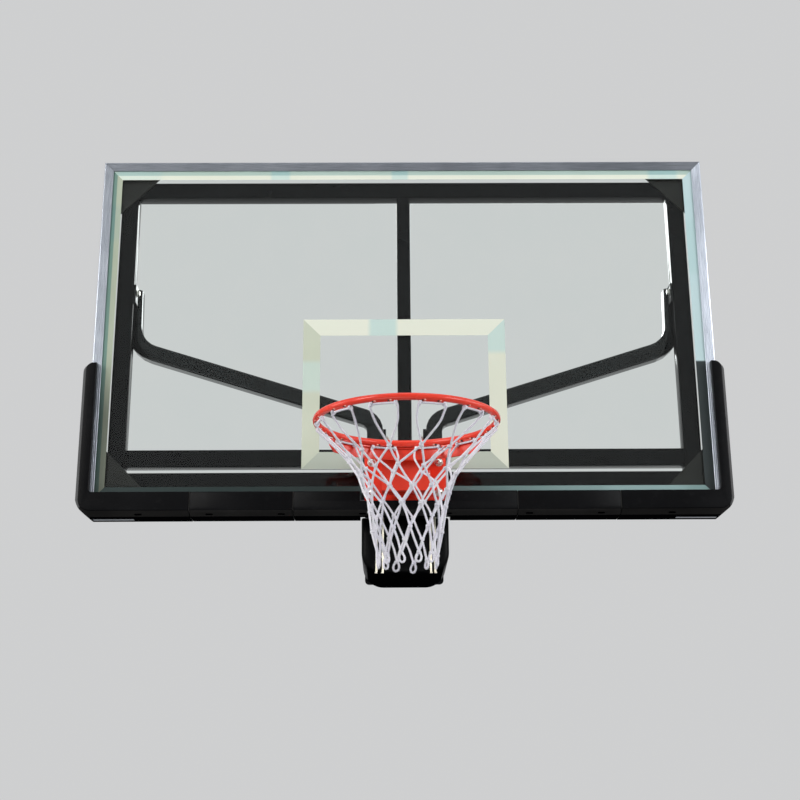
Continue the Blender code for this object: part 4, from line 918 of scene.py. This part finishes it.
def make_arm_pad():
    """The foam boot round the arm's end, with soft edges and a slightly full front."""
    half, low, top, r = ARM_PAD_HALF, ARM_PAD_LOW, ARM_PAD_TOP, ARM_PAD_R
    outline = arc((-half + r, low + r), r, 180, 270, 12) + arc((half - r, low + r), r, 270, 360, 12)
    outline += arc((half - 6, top - 6), 6.0, 0, 90, 3) + arc((6 - half, top - 6), 6.0, 90, 180, 3)
    middle, reach = (top + low) / 2, (top - low) / 2
    rings = []
    for y, tuck in ((ARM_PAD_FRONT, 40.0), (ARM_PAD_FRONT + 0.6, 22.0), (ARM_PAD_FRONT + 2.0, 11.0),
                    (ARM_PAD_FRONT + 5.2, 4.4), (ARM_PAD_FRONT + 9.6, 1.2), (ARM_PAD_FRONT + 15.0, 0.0),
                    (ARM_PAD_BACK - 7.0, 0.0), (ARM_PAD_BACK - 2.0, 1.6), (ARM_PAD_BACK, 5.0)):
        rings.append([((1 - tuck / half) * x, y, middle + (z - middle) * (1 - tuck / reach))
                      for x, z in outline])
    work = bmesh.new()
    skin(work, rings)
    made = finish(work, "arm_pad_skin", ARM_FOAM, "board", ["arm_pad"])
    cutter = bmesh.new()
    block(cutter, (-BOOM_HALF - 0.3, BOOM_FRONT - 0.3, BOOM_LOW - 0.3), (BOOM_HALF + 0.3, BOOM_BACK, 60.0))
    carve(made, cutter)


# ---- ring, net and what carries them


def make_ring():
    """The ring, its net tabs with their pegs, and the weld beads that hold the ring to its support."""
    work = bmesh.new()
    circle = [round_ring(RING_R, 2 * math.pi * i / 180, RING_Z) for i in range(180)]
    swept(work, circle, RING_TUBE_R, steps=24, closed=True)
    finish(work, "ring_tube", ORANGE, "rim", ["ring"], 60)

    work = bmesh.new()
    top = RING_Z - RING_TUBE_R + 2.4
    stations = 14
    for i in range(TABS):
        middle = 2 * math.pi * (i + 0.5) / TABS
        rings = []
        for j in range(stations + 1):
            t = 2 * j / stations - 1
            a = middle + TAB_ARC / 2 * math.copysign(abs(t) ** 0.9, t)
            from_end = (1 - abs(t)) * RING_R * TAB_ARC / 2
            rise = 1.5 * max(0.0, 1 - from_end / 6.5) ** 1.6
            lo, hi, low, edge = RING_R - TAB_T, RING_R, TAB_LOW + rise, 0.9
            section = [(lo + edge, low), (hi - edge, low), (hi, low + edge), (hi, top), (lo, top),
                       (lo, low + edge)]
            rings.append([round_ring(radius, a, z) for radius, z in section])
        skin(work, rings)
    finish(work, "net_tabs", ORANGE, "rim", angle=40)

    # Beside each peg a dark rubber disc stands for a dark spot of painted shadow.
    pegs, spots = bmesh.new(), bmesh.new()
    for i in range(TABS):
        for way in (-1, 1):
            a = 2 * math.pi * (i + 0.5) / TABS + way * (TAB_ARC / 2 - 15.0 / RING_R)
            b = a - 5.6 / RING_R
            for angle, work, long in ((a, pegs, 6.0), (b, spots, 4.6)):
                out = Vector((math.sin(angle), -math.cos(angle), 0.0))
                peg = [(0.0, 0.0), (2.4, 0.0), (2.4, long - 1.2), (1.6, long - 0.3), (0.0, long)]
                lathe(work, peg, round_ring(RING_R - 0.2, angle, TAB_LOW + 2.6), out, 12)
                lathe(work, peg, round_ring(RING_R - TAB_T + 0.2, angle, TAB_LOW + 2.6), -out, 12)
    # The pegs take the light orange of painted highlight.
    finish(pegs, "tab_pegs", PEG_HIGHLIGHT, "rim", angle=40)
    # The dark discs beside the pegs: painted shadow.
    finish(spots, "tab_painted_shadow_discs", RUBBER, "rim", angle=40)

    work = bmesh.new()
    for radius, z, half, size, steps in ((RING_R + 6.4, RING_Z - 8.0, 54.0, 2.3, 260),
                                         (RING_R - 5.6, RING_Z - 8.6, 20.0, 2.0, 100)):
        path = []
        sizes = []
        for j in range(steps + 1):
            a = math.pi + math.radians(half) * (2 * j / steps - 1)
            path.append(round_ring(radius, a, z))
            sizes.append(size * (0.86 + 0.14 * math.sin(j * 1.55) + 0.05 * dice.uniform(-1, 1)))
        swept(work, path, sizes, steps=8)
    finish(work, "ring_welds", WELD, "rim", angle=60)


def cord_section():
    """The outline of three strands laid together, as radii round it."""
    out, strand = 0.46, 0.54
    section = []
    for j in range(12):
        a = math.radians((30 * j + 60) % 120 - 60)
        section.append(out * math.cos(a) + math.sqrt(max(strand ** 2 - (out * math.sin(a)) ** 2, 0.0)))
    return section


CORD_SECTION = cord_section()
CORD_LAY = 15.0
CORD_STEP = 2.6
CROSSING_OFFSET = 2.5
KNOT_HALVES = (4.3, 4.9, 2.7)
LOOP_HALVES = (8.2, 11.9)


def cord(work, path, thick, closed=False):
    """A stretch of cord, so many times as thick as the plain one."""
    swept(work, path, CORD_R * thick, closed=closed, section=CORD_SECTION, lay=CORD_LAY)


def slack_between(points, way):
    """Points along nearly straight runs, with the bends close to the knots and a little bow between them."""
    bend = 0.16
    path = []
    for i, (a, b) in enumerate(zip(points, points[1:])):
        middle = a.lerp(b, 0.5 if i else 0.42)
        along = Vector((RING_Y - middle.y, middle.x, 0.0)).normalized()
        bow = dice.uniform(-2.4, 2.4) if i else way * dice.uniform(-1.0, 10.0)
        path += [a, a.lerp(b, bend) + along * bow * 0.5, middle + along * bow,
                 a.lerp(b, 1 - bend) + along * bow * 0.3]
    return path + [points[-1]]


def cast_knots(spacing):
    """Where each knot lies, as radius, angle and height, a little off its row."""
    knots = {}
    for i in range(TABS):
        for row, (z, radius, lean) in enumerate(KNOT_ROWS):
            a = spacing * (i + 0.5 + row / 2) + math.radians(lean)
            knots[i, row] = (radius + dice.uniform(-1.6, 1.6), a + dice.uniform(-2.6, 2.6) / radius,
                             z + dice.uniform(-3.4, 3.4))
    return knots


def add_strands(work, knots, i, middle):
    """The run along one tab, with a strand down from each end of it and a turn of cord round each end."""
    sides = {}
    for way in (1, -1):
        run = []
        for row in range(len(KNOT_ROWS)):
            home = i if way == 1 else (i - row) % TABS
            radius, a, z = knots[home, row]
            if way == -1 and home > i:
                a -= 2 * math.pi
            run.append(round_ring(radius + way * CROSSING_OFFSET, a, z))
        sides[way] = run
    radius = RING_R - TAB_T / 2
    end = TAB_ARC / 2
    over = [round_ring(radius + 0.4, middle - end - 0.004, NET_TOP - 5.0),
            round_ring(radius + 0.2, middle - end + 0.006, NET_TOP - 0.5)]
    over += [round_ring(radius, middle + end * t, NET_TOP - 0.15) for t in (-0.75, -0.4, 0.0, 0.4, 0.75)]
    over += [round_ring(radius + 0.2, middle + end - 0.006, NET_TOP - 0.5),
             round_ring(radius + 0.4, middle + end + 0.004, NET_TOP - 5.0)]
    down = slack_between([over[-1]] + sides[-1], 1)[1:]
    up = slack_between([over[0]] + sides[1], -1)[1:]
    cord(work, spline(up[::-1] + over + down, CORD_STEP), 1.20)
    turns, last = 1.6, 21
    for way in (-1, 1):
        a = middle + way * (end - 0.014)
        wrap = []
        for j in range(last + 1):
            turn = 2 * math.pi * turns * j / last
            lift = CORD_R * 1.75 * math.sin(turn)
            off = CORD_R * 1.80 * math.cos(turn)
            wrap.append(round_ring(radius + off, a + way * (j / last - 0.5) * 5.5 / radius,
                                   NET_TOP - 0.6 + lift))
        cord(work, wrap, 0.90)


def add_knot(work, radius, angle, z):
    """A few turns of cord wound round a crossing, a little askew."""
    wide, deep, high = KNOT_HALVES
    turns = 1.85
    steps = 30
    skew = dice.uniform(-0.35, 0.35)
    start = dice.uniform(0, 2 * math.pi)
    path = []
    for j in range(steps):
        t = j / (steps - 1)
        a = start + 2 * math.pi * turns * t
        along = wide * math.cos(a)
        up = high * (1 - 2 * t) + skew * along
        path.append(round_ring(radius + deep * math.sin(a), angle + along / radius, z + up))
    cord(work, path, 0.86)


def add_loop(work, radius, angle, z):
    """The loop that hangs from a knot of the last row."""
    half, drop_half = LOOP_HALVES
    steps = 26
    tilt = dice.uniform(-0.12, 0.12)
    size = dice.uniform(0.93, 1.03)
    path = []
    for j in range(steps):
        t = 2 * math.pi * j / steps
        drop = drop_half * (1 - math.cos(t)) * size
        swing = half * math.sin(t) * (0.50 + 0.50 * math.sin(t / 2)) * size + drop * tilt
        path.append(round_ring(radius + 1.5 * math.sin(t), angle + swing / radius, z - drop))
    cord(work, path, 1.22, closed=True)


def make_net():
    """The cord net: strands down from each tab, knots where they cross, end loops and one loose tail."""
    spacing = 2 * math.pi / TABS
    work = bmesh.new()
    knots = cast_knots(spacing)
    for i in range(TABS):
        add_strands(work, knots, i, spacing * (i + 0.5))
    for (i, row), place in knots.items():
        add_knot(work, *place)
        if row == len(KNOT_ROWS) - 1:
            add_loop(work, *place)
    tail = [round_ring(RING_R - tuck, math.pi - turn, z)
            for tuck, turn, z in ((2.0, 0.47, NET_TOP - 1.0), (6.0, 0.43, 114.0), (16.0, 0.36, 98.0),
                                  (27.0, 0.31, 79.0))]
    cord(work, spline(tail, CORD_STEP), 0.95)
    finish(work, "net_cord", CORD, "rim", ["net"], 70)


# ---- hardware


BOLT_R = 6.0
BOLT_HEAD_R = 10.0
BOLT_HEAD_H = 7.5
RIM_BOLT_X = 95.0
RIM_BOLT_Z = (28.0, 115.0)
RIM_BOLT_Y = 29.7
NUT_FACE_Y = -14.9
BRACE_BOLTS = (("top", (794.4, 42.0, 648.0), 16.0), ("foot", (53.9, 91.2, 210.0), 23.0))
PIN_Y, PIN_Z = -40.0, 75.0
PIN_REACH = 65.8
SPRING_X, SPRING_Z = 35.0, 40.0
SPRING_R = 11.5
SPRING_WIRE_R = 1.55
SPRING_START, SPRING_END = -16.8, -102.8
SPRING_TURNS = 9.0
ROD_X = (-82.0, -64.0, 72.0, 84.0)
ROD_Y = 72.0
ROD_R = 3.3
SCREW_CORNER_X = 877.7
SCREW_CORNER_Z = ((22.3, 1), (1027.7, -1))
SCREW_OFFSETS = ((18, 18), (118, 14), (14, 118))


def hardware(work, node, angle, material=ZINC):
    finish(work, f"{node}_finish", material, "board", [node], angle)


def hex_bolt(work, origin, outward, shank):
    """A flanged hexagon bolt: its head stands outward from the origin, its shank goes the other way."""
    r, flat, top = BOLT_HEAD_R, BOLT_HEAD_R * 0.87, BOLT_HEAD_H
    rim = top * 0.2
    lathe(work, [(0, 0), (r - 0.5, 0.0), (r, 0.4), (r - 0.1, rim * 0.8), (r - 1.0, rim + 0.2),
                 (0, rim + 0.3)], origin, outward, 28)
    lathe(work, [(0, rim), (flat, rim), (flat, top - 0.9), (r * 0.78, top), (0, top)], origin, outward, 6)
    lathe(work, [(0, -rim), (BOLT_R - 0.1, -rim), (BOLT_R - 0.1, shank - 1.0), (BOLT_R - 1.0, shank),
                 (0, shank)], origin, -Vector(outward), 16)


def make_bolts():
    """The four rim bolts with their dome nuts, and the two bolts of each brace."""
    dome = [(8.7, 12.0)]
    dome += [(8.7 * math.cos(t), 12.6 + 8.2 * math.sin(t)) for t in (math.pi / 2 * k / 8 for k in range(9))]
    flange = [(6.2, 0.0), (11.6, 0.0), (12.0, 0.4), (12.0, 1.9), (11.5, 2.4), (6.2, 2.4)]
    flats = [(6.2, 2.4), (9.8, 2.4), (10.4, 3.1), (10.4, 11.4), (9.4, 12.4), (7.9, 12.5)]
    places = [(x, z) for z in RIM_BOLT_Z for x in (-RIM_BOLT_X, RIM_BOLT_X)]
    for number, (x, z) in enumerate(places, 1):
        work = bmesh.new()
        hex_bolt(work, (x, RIM_BOLT_Y, z), (0, 1, 0), 56.0)
        hardware(work, f"rim_bolt_{number}", 30)
        work = bmesh.new()
        for profile, steps in ((flange, 40), (flats, 6), (dome, 32)):
            lathe(work, profile, (x, NUT_FACE_Y, z), (0, -1, 0), steps)
        hardware(work, f"dome_nut_{number}", 30)
    for side, sign in SIDES:
        for end, (x, y, z), shank in BRACE_BOLTS:
            work = bmesh.new()
            hex_bolt(work, (sign * x, y, z), (-sign, 0, 0), shank)
            hardware(work, f"brace_bolt_{end}_{side}", 30)


def make_pin():
    """The hinge pin, with a head at each end and a spring clip on it."""
    work = bmesh.new()
    reach = PIN_REACH
    profile = [(0.0, -reach - 3.2), (8.6, -reach - 3.2), (9.8, -reach - 2.2), (9.8, -reach - 0.2),
               (6.9, -reach)]
    profile += [(radius, -height) for radius, height in profile[::-1]]
    lathe(work, profile, (0, PIN_Y, PIN_Z), (1, 0, 0), 32)
    for sign in (-1, 1):
        clip = [Vector((sign * (reach + 2.0), PIN_Y + 9.6 * math.cos(t), PIN_Z + 9.6 * math.sin(t)))
                for t in [math.radians(40 + 300 * k / 24) for k in range(25)]]
        swept(work, clip, 0.9, steps=8)
    hardware(work, "hinge_pin", 35)


def make_springs():
    """Two coils with closed ends. They draw in between the base plate and the housing as the rim tilts."""
    start, end, turns = SPRING_START, SPRING_END, SPRING_TURNS
    closed, tuck_deep = 0.75, 2.4
    steps = int(turns * 22)
    for side, sign in SIDES:
        path = []
        for j in range(steps + 1):
            t = j / (turns * 22)
            rise = min(max((t * turns - closed) / (turns - 2 * closed), 0.0), 1.0)
            tuck = (tuck_deep * (min(t * turns, closed) / closed - 1)
                    + tuck_deep * (1 - min((1 - t) * turns, closed) / closed))
            y = start + (end - start) * (0.035 + 0.93 * rise) - tuck
            a = 2 * math.pi * turns * t
            path.append((sign * SPRING_X + SPRING_R * math.cos(a), y, SPRING_Z + SPRING_R * math.sin(a)))
        work = bmesh.new()
        swept(work, path, SPRING_WIRE_R, steps=10)
        made = finish(work, f"spring_{side}_finish", ZINC, None, [f"spring_{side}"], 60)
        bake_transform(made)


def make_rods():
    """The four thin rods that hang before the arm pad, with a collar at the top and a turned-out end."""
    collar = [(3.2, 0), (5.0, 0.0), (5.5, 0.7), (5.5, 6.6), (4.8, 7.6), (3.2, 8.0)]
    foot = [(0, 0), (3.9, 0.3), (4.4, 1.6), (3.9, 3.0), (0, 3.2)]
    for number, x in enumerate(ROD_X, 1):
        out = math.copysign(1.0, x)
        path = [(x, ROD_Y, z) for z in (-12.0, -60.0, -110.0, -160.0, -174.0)]
        path += [(x + 0.5 * out, 71.6, -180.0), (x + 1.6 * out, 71.0, -184.6)]
        work = bmesh.new()
        swept(work, spline(path, 7.0), ROD_R)
        lathe(work, collar, (x, ROD_Y, -11.4), (0, 0, -1), 20)
        lathe(work, foot, (x + 1.3 * out, 71.2, -182.0), (0, 0, -1), 16)
        hardware(work, f"hanging_rod_{number}", 40, ROD)


def make_gusset_screws():
    """Three round-headed screws through each corner gusset, near the side tube and the rail."""
    head = [(0, 0), (5.6, 0.0), (5.6, 0.3), (4.6, 0.6), (0, 0.7)]
    work = bmesh.new()
    for sign in (-1, 1):
        for z, up in SCREW_CORNER_Z:
            for dx, dz in SCREW_OFFSETS:
                origin = (sign * (SCREW_CORNER_X - dx), 12.9, z + up * dz)
                lathe(work, head, origin, (0, -1, 0), 20)
    finish(work, "gusset_screws", ZINC, "board")


def dress_steel():
    """The rigid steel of the frame, with its edges rounded, and the nodes that only need a finish."""
    for node in ("tube_left", "tube_right", "tube_top", "tube_centre", "tube_bottom_left",
                 "tube_bottom_right", "lower_beam_left", "lower_beam_right"):
        dressed(node, BLACK_STEEL, 0.8, 2)
    for side in ("left", "right"):
        dressed(f"brace_{side}", BRACE_STEEL, 1.6, 3)
        for end in ("bottom", "top"):
            dressed(f"gusset_{end}_{side}", GREY_STEEL, 0.6, 2)
    dressed("arm_head", BLACK_STEEL, 1.3, 3)
    dressed("base_plate", ORANGE, 1.0, 3)
    dressed("rim_housing", ORANGE, 2.2, 4)
    dressed("support_plate", ORANGE, 1.2, 3)
    dressed("skirt_band", ORANGE, 1.2, 3)
    dressed("mount_gasket", RUBBER, 0.8, 2)
    dressed("rear_gasket", RUBBER, 0.8, 2)
    bushes = [(f"glass_bush_{number}", NYLON) for number in range(1, 5)]
    for node, material in [("glass_panel", GLASS), ("glazing_gasket", RUBBER)] + bushes:
        for slot in NODES[node].material_slots:
            slot.material = material


set_camera()
set_stage()
make_rails()
make_lines()
make_bottom_pads()
make_corner_pads()
make_pad_trims()
make_arm_pad()
make_ring()
make_net()
make_bolts()
make_pin()
make_springs()
make_rods()
make_gusset_screws()
dress_steel()
